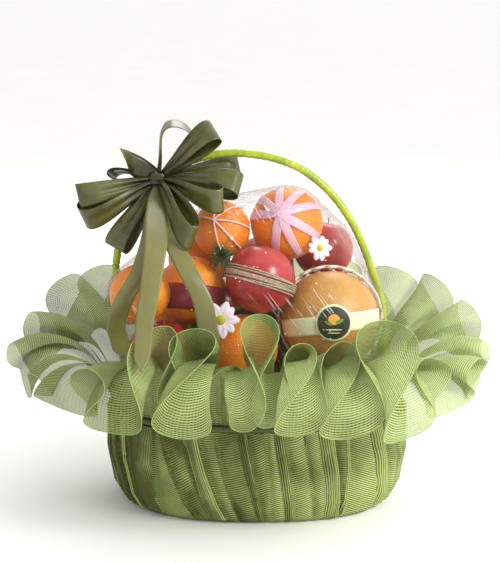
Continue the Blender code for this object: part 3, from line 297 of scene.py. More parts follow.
DAISIES = {
    "daisy_left": ((-0.037, -0.084, 0.2125), 0.019, (-0.1, 0.1, 1.0),
                   (-0.038, -0.06, 0.212)),
    "daisy_right": ((0.0656, -0.03, 0.2767), 0.013, (0.12, 0.1, 1.0),
                    (0.066, 0.01, 0.262)),
}
TUFTS = {
    "tuft_top": ((-0.0375, -0.048, 0.2725), 0.017),
    "tuft_low": ((-0.065, -0.072, 0.194), 0.016),
}

# Filler: the heap under the fruit and the paper shreds on it.
FILLER_HALF_WIDTH = 0.13
FILLER_HALF_DEPTH = 0.093
FILLER_LEVEL = 0.122          # height of the heap at its edge, and how far it rises inside
FILLER_RISE = 0.085
SHREDS = 340
SHRED_STEP = 0.0034

# Finishes by name, filled in as they are made.
FINISHES = {}
# Meshes: pitches of the threads, light and dark tone, tone of the gaps, how clear the holes are.
MESHES = {
    "ruffle_mesh": ((0.0019, 0.0013), (0.53, 0.655, 0.25), (0.26, 0.33, 0.1), 0.32, 0.46),
    "skin_mesh": ((0.0024, 0.0015), (0.49, 0.6, 0.205), (0.103, 0.117, 0.023), 0.3, 0.0),
}
# Satins: dark and light tone, and how dark the painted shade makes the ribbon at the knot.
SATINS = {
    "olive_satin": ((0.026, 0.027, 0.004), (0.165, 0.16, 0.043), 0.3),
    # Painted light: a lighter copy of the olive satin for the hanging ends, as they face the light.
    "olive_satin_lit_copy": ((0.13, 0.124, 0.036), (0.21, 0.2, 0.066)),
    "pink_satin": ((0.72, 0.38, 0.5), (0.86, 0.56, 0.66)),
    "red_satin": ((0.16, 0.012, 0.022), (0.3, 0.03, 0.045)),
}
# Fibres, papers and the like: dark and light tone, scale of the grain, roughness, and for the
# jute the grain's detail and its bumps' strength and depth.
FIBRES = {
    "selvedge": ((0.31, 0.4, 0.11), (0.45, 0.55, 0.19), 500.0, 0.7),
    "band_weave": ((0.05, 0.06, 0.018), (0.11, 0.13, 0.042), 700.0),
    "tub_plastic": ((0.08, 0.12, 0.04), (0.12, 0.16, 0.06), 90.0, 0.5),
    "pink_cord": ((0.8, 0.5, 0.5), (0.92, 0.7, 0.68), 900.0, 0.5),
    "pearl": ((0.86, 0.82, 0.76), (0.95, 0.92, 0.88), 300.0, 0.15),
    "cream_paper": ((0.74, 0.78, 0.46), (0.84, 0.87, 0.58), 240.0, 0.5),
    "label_ink": ((0.012, 0.02, 0.006), (0.025, 0.038, 0.012), 400.0, 0.35),
    "label_orange": ((0.8, 0.3, 0.03), (0.88, 0.46, 0.08), 260.0, 0.4),
    "label_leaf": ((0.08, 0.2, 0.03), (0.16, 0.34, 0.06), 300.0, 0.4),
    "foam_white": ((0.74, 0.68, 0.58), (0.86, 0.82, 0.74), 700.0, 0.9),
    "petal_cloth": ((0.8, 0.66, 0.76), (0.92, 0.84, 0.9), 150.0, 0.6),
    "daisy_heart": ((0.42, 0.4, 0.02), (0.62, 0.6, 0.05), 900.0, 0.7),
    "needles": ((0.018, 0.06, 0.012), (0.06, 0.16, 0.03), 300.0, 0.6),
    "stem_brown": ((0.1, 0.07, 0.025), (0.22, 0.17, 0.06), 600.0, 0.8),
    # The filler core is very dark: partly its own colour, partly painted shade for the gaps between the
    # fruit.
    "filler_dark": ((0.05, 0.045, 0.02), (0.13, 0.1, 0.04), 120.0),
    "filler_paper": ((0.2, 0.18, 0.08), (0.36, 0.31, 0.15), 200.0),
    "jute_strands": ((0.24, 0.16, 0.1), (0.62, 0.5, 0.37), 900.0, 0.9, 3.0, 0.8, 0.0008),
}

# Studio: colour of the sky, its strength from left to right, and the lamps by place, size, power.
SKY_COLOUR = (1.0, 0.992, 0.965)
SKY_STRENGTH = (0.54, 1.46)
LAMPS = {
    "key": ((1.2, -1.0, 1.2), 0.6, 23.0),
    "fill": ((-1.4, -1.1, 0.9), 1.2, 2.0),
    "back": ((0.3, 1.5, 1.6), 1.2, 14.0),
}


def mix(low, high, share):
    """Blend two numbers or vectors."""
    return low + (high - low) * share


def facing(across, up, front):
    """Turn a direction seen from the camera's elevation into x, y, z."""
    tilt = radians(VIEW_ELEVATION)
    right = Vector((1, 0, 0))
    upward = Vector((0, sin(tilt), cos(tilt)))
    toward = Vector((0, -cos(tilt), sin(tilt)))
    return (right * across + upward * up + toward * front).normalized()


def frame_on(direction):
    """Give two directions square to one direction: the first as level as it can be."""
    level = Vector((0, 0, 1)).cross(direction)
    if level.length < 0.05:
        level = Vector((1, 0, 0))
    level = (level - direction * level.dot(direction)).normalized()
    return level, direction.cross(level).normalized()


def pole_frame(centre, pole):
    """A centre, the axis to its pole, the level way, and a function for the ways round the axis."""
    axis = facing(*pole)
    level, upright = frame_on(axis)
    return Vector(centre), axis, level, lambda angle: level * cos(angle) + upright * sin(angle)


def oval(half_width, half_depth, angle):
    """Point of the squared oval plan at an angle."""
    across, back = cos(angle), sin(angle)
    power = 2.0 / PLAN_POWER
    return (copysign(abs(across) ** power, across) * half_width,
            copysign(abs(back) ** power, back) * half_depth)


def smooth_path(points, count):
    """Read count points from a smooth curve through the given points."""
    points = [Vector(point) for point in points]
    ends = [points[0] * 2 - points[1]] + points + [points[-1] * 2 - points[-2]]
    spans = len(points) - 1
    path = []
    for step in range(count):
        place = step / (count - 1) * spans
        span = min(int(place), spans - 1)
        t = place - span
        before, start, end, after = ends[span:span + 4]
        path.append(0.5 * ((2 * start) + (end - before) * t
                           + (2 * before - 5 * start + 4 * end - after) * t * t
                           + (3 * start - before - 3 * end + after) * t ** 3))
    return path


def link_mesh(name, mesh):
    """Shade a mesh smooth and put it in the scene."""
    mesh.shade_smooth()
    thing = bpy.data.objects.new(name, mesh)
    bpy.context.scene.collection.objects.link(thing)
    return thing


def loft(name, columns, rows, place, wrap=False, lay=None):
    """Sheet object from a grid: place(u, v) gives its points; lay is its size, or gives its UVs."""
    across = columns if wrap else columns + 1
    points = [place(column / columns, row / rows) for row in range(rows + 1) for column in range(across)]
    cells = [(column, row) for row in range(rows) for column in range(columns)]
    corners = ((0, 0), (1, 0), (1, 1), (0, 1))
    quads = [[(row + up) * across + (column + right) % across for right, up in corners]
             for column, row in cells]
    mesh = bpy.data.meshes.new(name)
    mesh.from_pydata(points, [], quads)
    if lay:
        layer = mesh.uv_layers.new(name="UVMap")
        spots = [(column + right, row + up) for column, row in cells for right, up in corners]
        for loop, (column, row) in zip(layer.data, spots):
            u, v = column / columns, row / rows
            loop.uv = lay(u, v) if callable(lay) else (u * lay[0], v * lay[1])
    return link_mesh(name, mesh)


def round_way(polar, angle):
    """Direction at a polar angle from straight up and an angle round it."""
    return Vector((sin(polar) * cos(angle), sin(polar) * sin(angle), cos(polar)))


def ball(name, columns, rows, place):
    """Closed object from a UV sphere: place(polar angle, angle round) moves each vertex."""
    body = bmesh.new()
    bmesh.ops.create_uvsphere(body, u_segments=columns, v_segments=rows, radius=1.0)
    for vertex in body.verts:
        vertex.co = place(acos(max(-1.0, min(1.0, vertex.co.z))), atan2(vertex.co.y, vertex.co.x) % tau)
    bmesh.ops.recalc_face_normals(body, faces=body.faces)
    return as_object(name, body)


def as_object(name, body):
    """Turn a bmesh into a linked object."""
    mesh = bpy.data.meshes.new(name)
    body.to_mesh(mesh)
    body.free()
    return link_mesh(name, mesh)


def rework(thing, change):
    """Change an object's mesh as a bmesh."""
    body = bmesh.new()
    body.from_mesh(thing.data)
    change(body)
    body.to_mesh(thing.data)
    body.free()


def weld(thing):
    """Merge a mesh's doubled vertices."""
    rework(thing, lambda body: bmesh.ops.remove_doubles(body, verts=body.verts, dist=0.00001))


def rope(name, path, radius, sides=8, closed=False):
    """Make a tube along a path; radius is a number or a function of (share, angle)."""
    size = len(path)
    rings = []
    for index, here in enumerate(path):
        after = path[(index + 1) % size] if closed or index + 1 < size else here * 2 - path[index - 1]
        before = path[index - 1] if closed or index else here * 2 - path[index + 1]
        along = (after - before).normalized()
        side = along.cross(Vector((0, 0, 1)))
        side = side.normalized() if side.length > 0.1 else along.cross(Vector((0, 1, 0))).normalized()
        rings.append((here, side, side.cross(along)))
    rows = size if closed else size - 1

    def place(u, v):
        here, side, lift = rings[round(v * rows) % size]
        angle = u * tau
        reach = radius(v, angle) if callable(radius) else radius
        return here + (side * cos(angle) + lift * sin(angle)) * reach
    thing = loft(name, sides, rows, place, wrap=True)
    if closed:
        weld(thing)
    return thing


def thicken(thing, thickness):
    """Give a sheet a real thickness."""
    solid = thing.modifiers.new("Thickness", "SOLIDIFY")
    solid.thickness = thickness
    solid.offset = 0.0
    return thing


def join(name, things):
    """Join objects into the first one."""
    bpy.ops.object.select_all(action="DESELECT")
    for thing in things:
        thing.select_set(True)
    bpy.context.view_layer.objects.active = things[0]
    bpy.ops.object.join()
    things[0].name = name
    things[0].data.name = name
    return things[0]


def dress(thing, finish, slot_name, *nodes):
    """Give a piece its finish and body, and hide the CAD nodes that it stands for; slot_name is not used.
    """
    thing.data.materials.clear()
    thing.data.materials.append(FINISHES[finish])
    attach(thing, BODY)
    if nodes:
        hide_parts(*nodes)
    return thing


class Finish:
    """A node material with a few short helpers."""

    def __init__(self, name, roughness, **fixed):
        FINISHES[name] = bpy.data.materials.new(name)
        FINISHES[name].use_nodes = True
        self.tree = FINISHES[name].node_tree
        self.shader = self.tree.nodes["Principled BSDF"]
        for socket, value in dict(fixed, Roughness=roughness).items():
            self.shader.inputs[socket.replace("_", " ")].default_value = value

    def feed(self, socket, source):
        """Set a socket from another socket, a colour or a plain value."""
        if isinstance(source, bpy.types.NodeSocket):
            self.tree.links.new(source, socket)
        else:
            socket.default_value = (*source, 1.0) if socket.type == "RGBA" else source

    def set(self, socket, source):
        """Feed one of the shader's sockets."""
        self.feed(self.shader.inputs[socket], source)

    def node(self, kind, feeds=(), **values):
        """Add a node, set its properties and feed its sockets."""
        made = self.tree.nodes.new(kind)
        for key, value in values.items():
            setattr(made, key, value)
        for socket, source in dict(feeds).items():
            self.feed(made.inputs[socket], source)
        return made

    def math(self, operation, first, second=0.0):
        """Add a math node."""
        return self.node("ShaderNodeMath", {0: first, 1: second}, operation=operation).outputs[0]

    def span(self, value, low, high, new_low, new_high):
        """Map a range of values to another one, clamped."""
        return self.node("ShaderNodeMapRange", {
            "Value": value, "From Min": low, "From Max": high, "To Min": new_low,
            "To Max": new_high}).outputs[0]

    def place(self, kind="Object", scale=(1, 1, 1), turn=(0, 0, 0)):
        """Coordinates of the surface, turned and scaled."""
        return self.node("ShaderNodeMapping", {
            "Vector": self.node("ShaderNodeTexCoord").outputs[kind], "Rotation": turn,
            "Scale": [1.0 / size for size in scale]}, vector_type="TEXTURE").outputs[0]

    def noise(self, where, scale, detail=3.0, roughness=0.55):
        """Noise value at a place."""
        return self.node("ShaderNodeTexNoise", {
            "Vector": where, "Scale": scale, "Detail": detail, "Roughness": roughness}).outputs[0]

    def spots(self, where, scale):
        """Distance to the nearest of scattered points."""
        return self.node("ShaderNodeTexVoronoi", {"Vector": where, "Scale": scale}).outputs["Distance"]

    def split(self, where):
        """The three parts of a place."""
        return self.node("ShaderNodeSeparateXYZ", {0: where}).outputs

    def ramp(self, value, *stops):
        """Colour ramp from stops of (place, colour)."""
        made = self.node("ShaderNodeValToRGB", {0: value})
        elements = made.color_ramp.elements
        for element, (place, colour) in zip(elements, (stops[0], stops[-1])):
            element.position = place
            element.color = (*colour, 1.0)
        for place, colour in stops[1:-1]:
            elements.new(place).color = (*colour, 1.0)
        return made.outputs[0]

    def blend(self, share, first, second, mode="MIX"):
        """Mix two colours."""
        return self.node("ShaderNodeMix", {0: share, 6: first, 7: second}, data_type="RGBA",
                         blend_type=mode).outputs[2]

    def bump(self, height, strength, distance):
        """Add a bump to the shader."""
        made = self.node("ShaderNodeBump", {
            "Strength": strength, "Distance": distance, "Height": height}).outputs[0]
        self.set("Normal", made)
        return made

    def threads(self, along_pitch, cross_pitch):
        """Two sets of slightly wavy threads over the UV map: 1 on a thread, 0 in a hole."""
        sides = self.split(self.place("UV"))
        stray = self.math("MULTIPLY", self.noise(self.place(), 70.0, 1.0), THREAD_STRAY)
        waves = []
        for axis, pitch in ((1, along_pitch), (0, cross_pitch)):
            turn = self.math("ADD", self.math("MULTIPLY", sides[axis], pi / pitch), stray)
            waves.append(self.math("ABSOLUTE", self.math("SINE", turn)))
        return waves


def mesh_cloth_finish(name, pitches, light, dark, gap_share, holes):
    """Open knitted mesh: threads along and across, darker or clear between them, with painted shade on the
    left side and painted light on the right.
    """
    finish = Finish(name, 0.6, Specular_IOR_Level=0.2)
    along, cross = finish.threads(*pitches)
    thread = finish.math("MAXIMUM", finish.span(along, 0.48, 0.92, 0.0, 1.0),
                         finish.span(cross, 0.55, 0.98, 0.0, 0.55))
    folded = finish.noise(finish.place("UV", (6.0, 9.0, 1.0)), 1.0, 2.0)
    varied = finish.math("MULTIPLY", finish.math("ADD", finish.noise(finish.place(), 22.0), folded), 0.5)
    # Painted light and shade: the tone goes darker towards the left and lighter towards the right, as the
    # light falls from the right.
    painted_side_light = finish.span(finish.split(finish.place())[0], -0.16, 0.16, -0.1, 0.1)
    tone = finish.ramp(finish.math("ADD", varied, painted_side_light), (0.36, dark), (0.62, light))
    finish.set("Base Color", finish.blend(thread, tuple(part * gap_share for part in dark), tone))
    if holes:
        finish.set("Alpha", finish.span(thread, 0.0, 1.0, 1.0 - holes, 0.97))
    crumpled = finish.noise(finish.place("UV", (150.0, 210.0, 1.0)), 1.0, 3.0)
    finish.bump(finish.math("ADD", finish.math("MULTIPLY", thread, 0.35), crumpled), 0.55, 0.0016)


def handle_finish():
    """Shiny yellow-green strip wound round the handle."""
    finish = Finish("handle_winding", 0.28, Coat_Weight=0.3)
    tone = finish.noise(finish.place(), 60.0)
    finish.set("Base Color", finish.ramp(tone, (0.3, (0.19, 0.29, 0.009)), (0.7, (0.42, 0.5, 0.028))))
    finish.bump(finish.noise(finish.place(), 900.0, 2.0), 0.15, 0.0003)


def satin_finish(name, dark, light, gathered=0.42):
    """Satin ribbon: fine lines along its length, a soft gloss, and painted shade that darkens it near the
    knot.
    """
    finish = Finish(name, 0.27, Specular_IOR_Level=0.55, Anisotropic=0.5)
    fine = finish.noise(finish.place("UV", (60.0, 3200.0, 1.0)), 1.0, 2.0)
    colour = finish.ramp(finish.noise(finish.place(), 26.0), (0.3, dark), (0.75, light))
    colour = finish.blend(0.3, colour, finish.ramp(fine, (0.35, dark), (0.7, light)))
    # Painted shade: the colour is darkened within a few centimetres of the knot, down to the share given by
    # gathered at the knot itself.
    away = finish.node("ShaderNodeVectorMath", {0: finish.place(), 1: KNOT_CENTRE}, operation="DISTANCE")
    shade = finish.span(away.outputs["Value"], 0.012, 0.062, gathered, 1.0)
    finish.set("Base Color", finish.blend(1.0, colour, shade, "MULTIPLY"))
    finish.bump(fine, 0.1, 0.0002)


def fruit_finish(kind):
    """Skin of a fruit: three tones, small dots and fine bumps, with pores on an orange."""
    name, roughness, gloss, grain, tones, dots, (fine, strength, depth) = FRUIT_SKINS[kind]
    finish = Finish(name, roughness, **gloss)
    where = finish.place()
    colour = finish.ramp(finish.noise(where, grain, 4.0), *tones)
    pits = finish.spots(where, dots[0])
    share = finish.math("MULTIPLY", finish.span(pits, dots[1], dots[2], 1.0, 0.0), dots[3])
    finish.set("Base Color", finish.blend(share, colour, dots[4]))
    height = finish.noise(where, fine)
    if kind == "orange":
        height = finish.math("ADD", pits, finish.math("MULTIPLY", height, 0.6))
    finish.bump(height, strength, depth)


def film_finish():
    """Clear wrapping film: a warm veil, creases, edges, and painted highlights as small white specks and
    fine white lines.
    """
    finish = Finish("clear_film", 0.1, Specular_IOR_Level=0.6)
    where = finish.place()
    folds = finish.noise(finish.place(scale=(1.0, 1.0, 0.55)), 34.0, 5.0, 0.62)
    crease = finish.bump(folds, 0.9, 0.009)
    weight = finish.node("ShaderNodeLayerWeight", {"Blend": 0.5, "Normal": crease})
    grazing = finish.span(weight.outputs["Facing"], 0.4, 1.0, 0.05, 0.62)
    # Painted highlights: small white specks in patches and bundles of fine white lines, where the creased
    # film would catch the light; they turn the film white and opaque there.
    cells = finish.span(finish.spots(where, 150.0), 0.06, 0.15, 1.0, 0.0)
    patches = finish.span(finish.noise(where, 22.0), 0.5, 0.56, 0.0, 0.9)
    lines = finish.noise(finish.place(scale=(900.0, 90.0, 22.0), turn=(0.0, -0.62, 0.0)), 1.0, 1.0)
    bundles = finish.span(finish.noise(where, 15.0, 1.0), 0.57, 0.63, 0.0, 1.0)
    streak_highlights = finish.math("MULTIPLY", finish.span(lines, 0.6, 0.67, 0.0, 0.75), bundles)
    painted_highlights = finish.math("MAXIMUM", finish.math("MULTIPLY", cells, patches), streak_highlights)
    finish.set("Base Color", finish.blend(painted_highlights, (0.3, 0.185, 0.13), (1.0, 1.0, 1.0)))
    finish.set("Alpha", finish.math("MAXIMUM", grazing, painted_highlights))


def fibre_finish(name, dark, light, scale, roughness=0.85, detail=5.0, strength=0.4, depth=0.0006):
    """Fibrous or papery surface in two tones."""
    finish = Finish(name, roughness)
    grain = finish.noise(finish.place(), scale, detail)
    finish.set("Base Color", finish.ramp(grain, (0.3, dark), (0.7, light)))
    finish.bump(grain, strength, depth)


def make_finishes():
    """Make every finish of the basket and its contents."""
    for name, look in MESHES.items():
        mesh_cloth_finish(name, *look)
    for name, look in FIBRES.items():
        fibre_finish(name, *look)
    for name, look in SATINS.items():
        satin_finish(name, *look)
    for kind in FRUIT_SKINS:
        fruit_finish(kind)
    handle_finish()
    film_finish()


def plan_walk(half_width, half_depth, count=720):
    """Angles at even steps of length round the oval, starting at the front middle."""
    start = -pi / 2
    angles = [start + tau * step / count for step in range(count + 1)]
    corners = [Vector(oval(half_width, half_depth, angle)) for angle in angles]
    walked = [0.0]
    for here, there in zip(corners, corners[1:]):
        walked.append(walked[-1] + (there - here).length)

    def angle_at(share):
        target = (share % 1.0) * walked[-1]
        step = max(1, bisect.bisect_left(walked, target))
        part = (target - walked[step - 1]) / (walked[step] - walked[step - 1])
        return mix(angles[step - 1], angles[step], part)
    return angle_at


def arc_point(length, start, turn):
    """End of an arc: distance out and up for its length, start angle and turn in degrees."""
    half = radians(turn) / 2
    chord = length * (sin(half) / half if abs(half) > 1e-4 else 1.0)
    heading = radians(start) - half
    return chord * cos(heading), chord * sin(heading)


def strip_point(length, start, curl, v):
    """Place along the strip, out and up from its foot: a nearly straight root, then a curl."""
    root = min(v / ROOT_SHARE, 1.0)
    out, up = arc_point(length * ROOT_SHARE * root, start, curl * ROOT_CURL * root)
    if v > ROOT_SHARE:
        rest = (v - ROOT_SHARE) / (1 - ROOT_SHARE)
        further, higher = arc_point(length * (v - ROOT_SHARE), start - curl * ROOT_CURL,
                                    curl * (1 - ROOT_CURL) * rest)
        out, up = out + further, up + higher
    return out, up


def rim_place(angle):
    """Point of the ruffle's foot line round the tub at an angle, and the way outwards there."""
    half_width = RIM_HALF_WIDTH + RUFFLE_STAND_OFF
    half_depth = RIM_HALF_DEPTH + RUFFLE_STAND_OFF
    ahead = Vector(oval(half_width, half_depth, angle + 0.01))
    behind = Vector(oval(half_width, half_depth, angle - 0.01))
    along = (ahead - behind).normalized()
    return Vector(oval(half_width, half_depth, angle)), Vector((along.y, -along.x))


def edge_turns():
    """Every turn of the ruffle's free edge, those at the rear with small seeded differences."""
    draw = random.Random(SEED)
    turns = list(EDGE_TURNS)
    first, last = EDGE_TURNS[0][0] + 1.0, EDGE_TURNS[-1][0]
    for step in range(1, REAR_TURNS + 1):
        share = mix(last, first, (step + draw.uniform(-0.2, 0.2)) / (REAR_TURNS + 1))
        curl, strip, width = REAR_UPPER if step % 2 else REAR_LOWER
        turns.append((share, curl + draw.uniform(-9, 9), strip * draw.uniform(0.92, 1.08), width, 0.0))
    return turns


def ruffle_point(u, v, angle_at, turns):
    """Point of the ruffle: u runs round the tub, v from the tub to the free edge."""
    place = u * len(turns) % len(turns)
    index = int(place)
    part = place - index
    here, after = turns[index], turns[(index + 1) % len(turns)]
    ahead = after[0] if after[0] > here[0] else after[0] + 1.0
    soft = part * part * (3 - 2 * part)
    swung = (1 - asin(EDGE_POINT * cos(pi * part)) / asin(EDGE_POINT)) / 2
    curl = mix(here[1], after[1], swung)
    strip, fullness, lean = (mix(here[item], after[item], soft) for item in (2, 3, 4))
    share, step = mix(here[0], ahead, part), 0.5 / len(turns)
    foot, outward = rim_place(angle_at(share))
    out, up = strip_point(strip, STRIP_START_ANGLE - END_SLANT * abs(outward.x), curl, v)
    near, near_outward = rim_place(angle_at(share - step))
    far, far_outward = rim_place(angle_at(share + step))
    spacing = 2 * ((far + far_outward * out) - (near + near_outward * out)).length
    along = Vector((-outward.y, outward.x))
    swing = (fullness * spacing * sin(tau * part) + lean) * v ** 0.8
    flat = foot + outward * out + along * swing
    turn = share * tau
    stray = Vector([noise.noise((cos(turn) * 9, sin(turn) * 9, v * 2.2 + shift))
                    for shift in WOBBLE_SHIFTS])
    return Vector((flat.x, flat.y, RUFFLE_BOTTOM + up)) + stray * WOBBLE * v


def build_ruffle():
    """Ruffle of mesh that swings up and down in lobes, with a stitched free edge."""
    angle_at = plan_walk(RIM_HALF_WIDTH, RIM_HALF_DEPTH)
    turns = edge_turns()
    columns = len(turns) * TURN_COLUMNS

    def place(u, v):
        point = ruffle_point(u, v, angle_at, turns)
        side = ruffle_point(u + 0.0005, v, angle_at, turns) - point
        rise = ruffle_point(u, v + 0.01, angle_at, turns) - point
        crease = sum(noise.noise(Vector((u * round_it, v * out, shift))) * depth * v
                     for round_it, out, shift, depth in RUFFLE_CREASES)
        gather = GATHER_DEPTH * (1 - v) ** 2 * sin(u * tau * GATHERS)
        return point + side.cross(rise).normalized() * (crease + gather)
    ruffle = loft("ruffle_cloth", columns, RUFFLE_ROWS, place, True, (STRIP_LENGTH, STRIP_WIDTH))
    dress(ruffle, "ruffle_mesh", "mesh_green", "ruffle")
    path = [place(step / columns, 1.0) for step in range(columns)]
    edge = rope("ruffle_edge", path, SELVEDGE_RADIUS, sides=6, closed=True)
    dress(edge, "selvedge", "mesh_green")


def skin_sizes(height):
    """Half width and half depth of the skin at a height, on a smooth curve."""
    levels = [Vector(level) for level in SKIN_PROFILE]
    for low, high in zip(levels, levels[1:]):
        if height <= high.x + 1e-9:
            share = (height - low.x) / (high.x - low.x)
            return mix(low.y, high.y, share), mix(low.z, high.z, share)
    return levels[-1].y, levels[-1].z


def skin_folds():
    """Every fold of the skin, in order round the tub."""
    draw = random.Random(SEED + 1)
    folds = list(FRONT_FOLDS)
    first, last = FRONT_FOLDS[0][0] + 1.0, FRONT_FOLDS[-1][0]
    for step in range(1, REAR_FOLDS + 1):
        place = mix(last, first, (step + draw.uniform(-0.3, 0.3)) / (REAR_FOLDS + 1))
        folds.append((place, draw.uniform(*REAR_DRIFT), draw.uniform(*REAR_DEPTH)))
    return folds


def fold_lines(folds, height):
    """Places of the folds at a height, kept in order, each with its depth and its number."""
    fallen = 1 - height / SKIN_PROFILE[-1][0]
    lines = []
    for number, (place, drift, depth) in enumerate(folds):
        bend = drift * (0.75 * fallen + 0.25 * fallen * fallen)
        lines.append([place + bend, depth, number])
    for before, here in zip(lines, lines[1:]):
        here[0] = max(here[0], before[0] + 0.004)
    return lines


def skin_depth(lines, starts, share):
    """How far the cloth lies under its outer form at a share of the way round, and its pleat."""
    index = bisect.bisect_right(starts, share) - 1
    here = lines[index]
    start = here[0] if index >= 0 else here[0] - 1.0
    after = lines[(index + 1) % len(lines)]
    end = after[0] if after[0] > start else after[0] + 1.0
    away, width = share - start, end - start
    gap = FOLD_DROP + min(FOLD_GAP * here[1] / REAR_DEPTH[1], 0.35 * width)
    if away < gap:
        return here[1] * min(1.0, away / FOLD_DROP), here[2]
    rise = (away - gap) / max(width - gap, 1e-5)
    return here[1] * (1 - rise) ** 2.4 - 0.0009 * sin(pi * rise), here[2]


def build_skin():
    """Pleated mesh skin: leaning, overlapped folds with pale woven edges along some of them."""
    top = SKIN_PROFILE[-1][0]
    folds = skin_folds()
    levels = [top * (0.5 - 0.5 * cos(pi * (0.08 + 0.92 * row / SKIN_ROWS))) for row in range(SKIN_ROWS + 1)]
    levels[0], levels[-1] = 0.0, top
    lines_at = {height: fold_lines(folds, height) for height in levels}
    starts_at = {height: [line[0] for line in lines] for height, lines in lines_at.items()}
    angle_at = plan_walk(*SKIN_PROFILE[-1][1:])
    begin = FRONT_FOLDS[0][0]

    def depth_at(share, height):
        starts = starts_at[height]
        return skin_depth(lines_at[height], starts, (share - starts[0]) % 1.0 + starts[0])

    def on_skin(share, height, lift=0.0):
        depth = depth_at(share, height)[0]
        half_width, half_depth = skin_sizes(height)
        pinch = min(1.0, height / 0.008, (top - height) / 0.006 + 0.35)
        if height > 0.03:
            depth *= min(half_width - RIM_HALF_WIDTH, half_depth - RIM_HALF_DEPTH, 0.0085) / 0.005
        crumple = 0.0008 * noise.noise(Vector((share * 60, height * 30, 2.0)))
        inset = (depth + 0.0008 + crumple) * pinch - lift
        return Vector((*oval(half_width - inset, half_depth - inset, angle_at(share)), height))

    def lay(u, v):
        height = levels[round(v * SKIN_ROWS)]
        share = begin + u
        number = depth_at(share, height)[1]
        along = (share - folds[number][1] * (1 - height / top)) * SKIN_LENGTH
        weave = (along + number * PLEAT_SHIFT, height + along * 0.45 * sin(number * 2.4))
        return weave if number % 3 else weave[::-1]

    skin = loft("pleated_cloth", SKIN_COLUMNS, SKIN_ROWS,
                lambda u, v: on_skin(begin + u, levels[round(v * SKIN_ROWS)]), lay=lay)
    weld(skin)
    dress(skin, "skin_mesh", "mesh_green", "pleated_skin")
    threads = []
    for number in SELVEDGE_FOLDS:
        for beside in (0.0005, 0.003):
            path = [on_skin(lines_at[height][number][0] - beside, height, 0.0004)
                    for height in levels[2:]]
            threads.append(rope(f"skin_thread_{number}", path, 0.0006, sides=6))
    dress(join("skin_selvedges", threads), "selvedge", "mesh_green")


def build_band():
    """Dark band tied round the tub over the top of the skin."""
    def place(u, v):
        out = 0.004 + 0.0022 * sin(pi * v)
        return Vector((*oval(RIM_HALF_WIDTH + out, RIM_HALF_DEPTH + out, u * tau),
                       mix(BAND_BOTTOM, BAND_TOP, v)))
    band = thicken(loft("band_cloth", 160, 6, place, wrap=True), 0.0012)
    dress(band, "band_weave", "band_green", "tie_band")


def handle_path(count):
    """Centre line of the handle."""
    return smooth_path([(x, 0.0, z) for x, z in HANDLE_POINTS], count)


def build_handle():
    """Arched handle with a strip wound round it."""
    path = handle_path(560)
    turns = sum((b - a).length for a, b in zip(path, path[1:])) / WINDING_PITCH
    handle = rope("handle_wound", path, lambda share, angle: HANDLE_RADIUS * (
        0.93 + 0.15 * ((share * turns + angle / tau) % 1.0) ** 0.7), sides=18)
    dress(handle, "handle_winding", "handle_green", "handle")


def fruit_share(kind, polar, angle, seed):
    """Radius share of a fruit's skin at a polar angle from its stem end and round it."""
    dimple, spread, base, squat, lobes, _, _ = FRUIT_SHAPES[kind]
    share = 1.0 - squat * cos(polar) ** 2
    share -= dimple * exp(-(polar / spread) ** 2)
    share -= base * exp(-((pi - polar) / spread) ** 2)
    share += lobes * cos(5 * angle + seed) * sin(polar) * (1 - cos(polar)) / 2
    return share + 0.01 * noise.noise(round_way(polar, angle) * 1.6 + Vector((seed, 0, 0)))


def build_fruit(name):
    """One fruit with its stem or its stem scar."""
    centre, radius, kind, pole = FRUITS[name]
    centre, axis, level, ring = pole_frame(centre, pole)
    seed = radius * 1000 % 7
    rise, thick = FRUIT_SHAPES[kind][5:]

    def place(polar, angle):
        reach = radius * fruit_share(kind, polar, angle, seed)
        return centre + (ring(angle) * sin(polar) + axis * cos(polar)) * reach
    dress(ball(f"{name}_skin", FRUIT_COLUMNS, FRUIT_ROWS, place), FRUIT_SKINS[kind][0],
          f"{kind}_skin", name)
    foot = centre + axis * radius * fruit_share(kind, 0.0, 0.0, seed) * 0.985
    bend = level * rise * 0.3
    path = smooth_path([foot, foot + axis * rise * 0.5 + bend * 0.3, foot + axis * rise + bend], 8)
    stem = rope(f"{name}_stem", path, lambda share, _: thick * (
        0.55 if share > 0.99 else 1.0 - 0.35 * sin(pi * share)), sides=10)
    rework(stem, lambda body: bmesh.ops.holes_fill(body, edges=body.edges))
    dress(stem, "stem_brown", f"{kind}_skin")


def on_fruit(name, pole, lift):
    """Give a function for points over a fruit from a polar angle and an angle round a pole."""
    centre, axis, _, ring = pole_frame(FRUITS[name][0], pole)
    reach = FRUITS[name][1] + lift
    return lambda polar, angle, extra=0.0: centre + (
        ring(angle) * sin(polar) + axis * cos(polar)) * (reach + extra)


def build_ribbon_star():
    """Pink ribbon crossed over the top orange, gathered where it crosses."""
    _, radius, _, pole = FRUITS["orange_top"]
    point = on_fruit("orange_top", pole, TRIM_GAP + TRIM_THICKNESS)
    half = STAR_HALF_WIDTH / radius
    arms = []
    for order, arm in enumerate(STAR_ARMS):
        def place(u, v, heading=radians(arm), order=order):
            polar = mix(0.0, radians(STAR_REACH), u)
            across = mix(-half, half, v) * mix(0.45, 1.0, min(1.0, u * 5.0))
            rise = (0.0016 + 0.0001 * order) * exp(-(u * 7.0) ** 2)
            return point(hypot(polar, across), heading + atan2(across, max(polar, 1e-5)),
                         rise + 0.0002 * cos(v * tau * 2))
        arms.append(loft(f"star_arm_{order}", 22, 6, place, lay=(0.06, 0.01)))
    star = thicken(join("pink_star_ribbon", arms), TRIM_THICKNESS)
    dress(star, "pink_satin", "pink_ribbon", "pink_star")


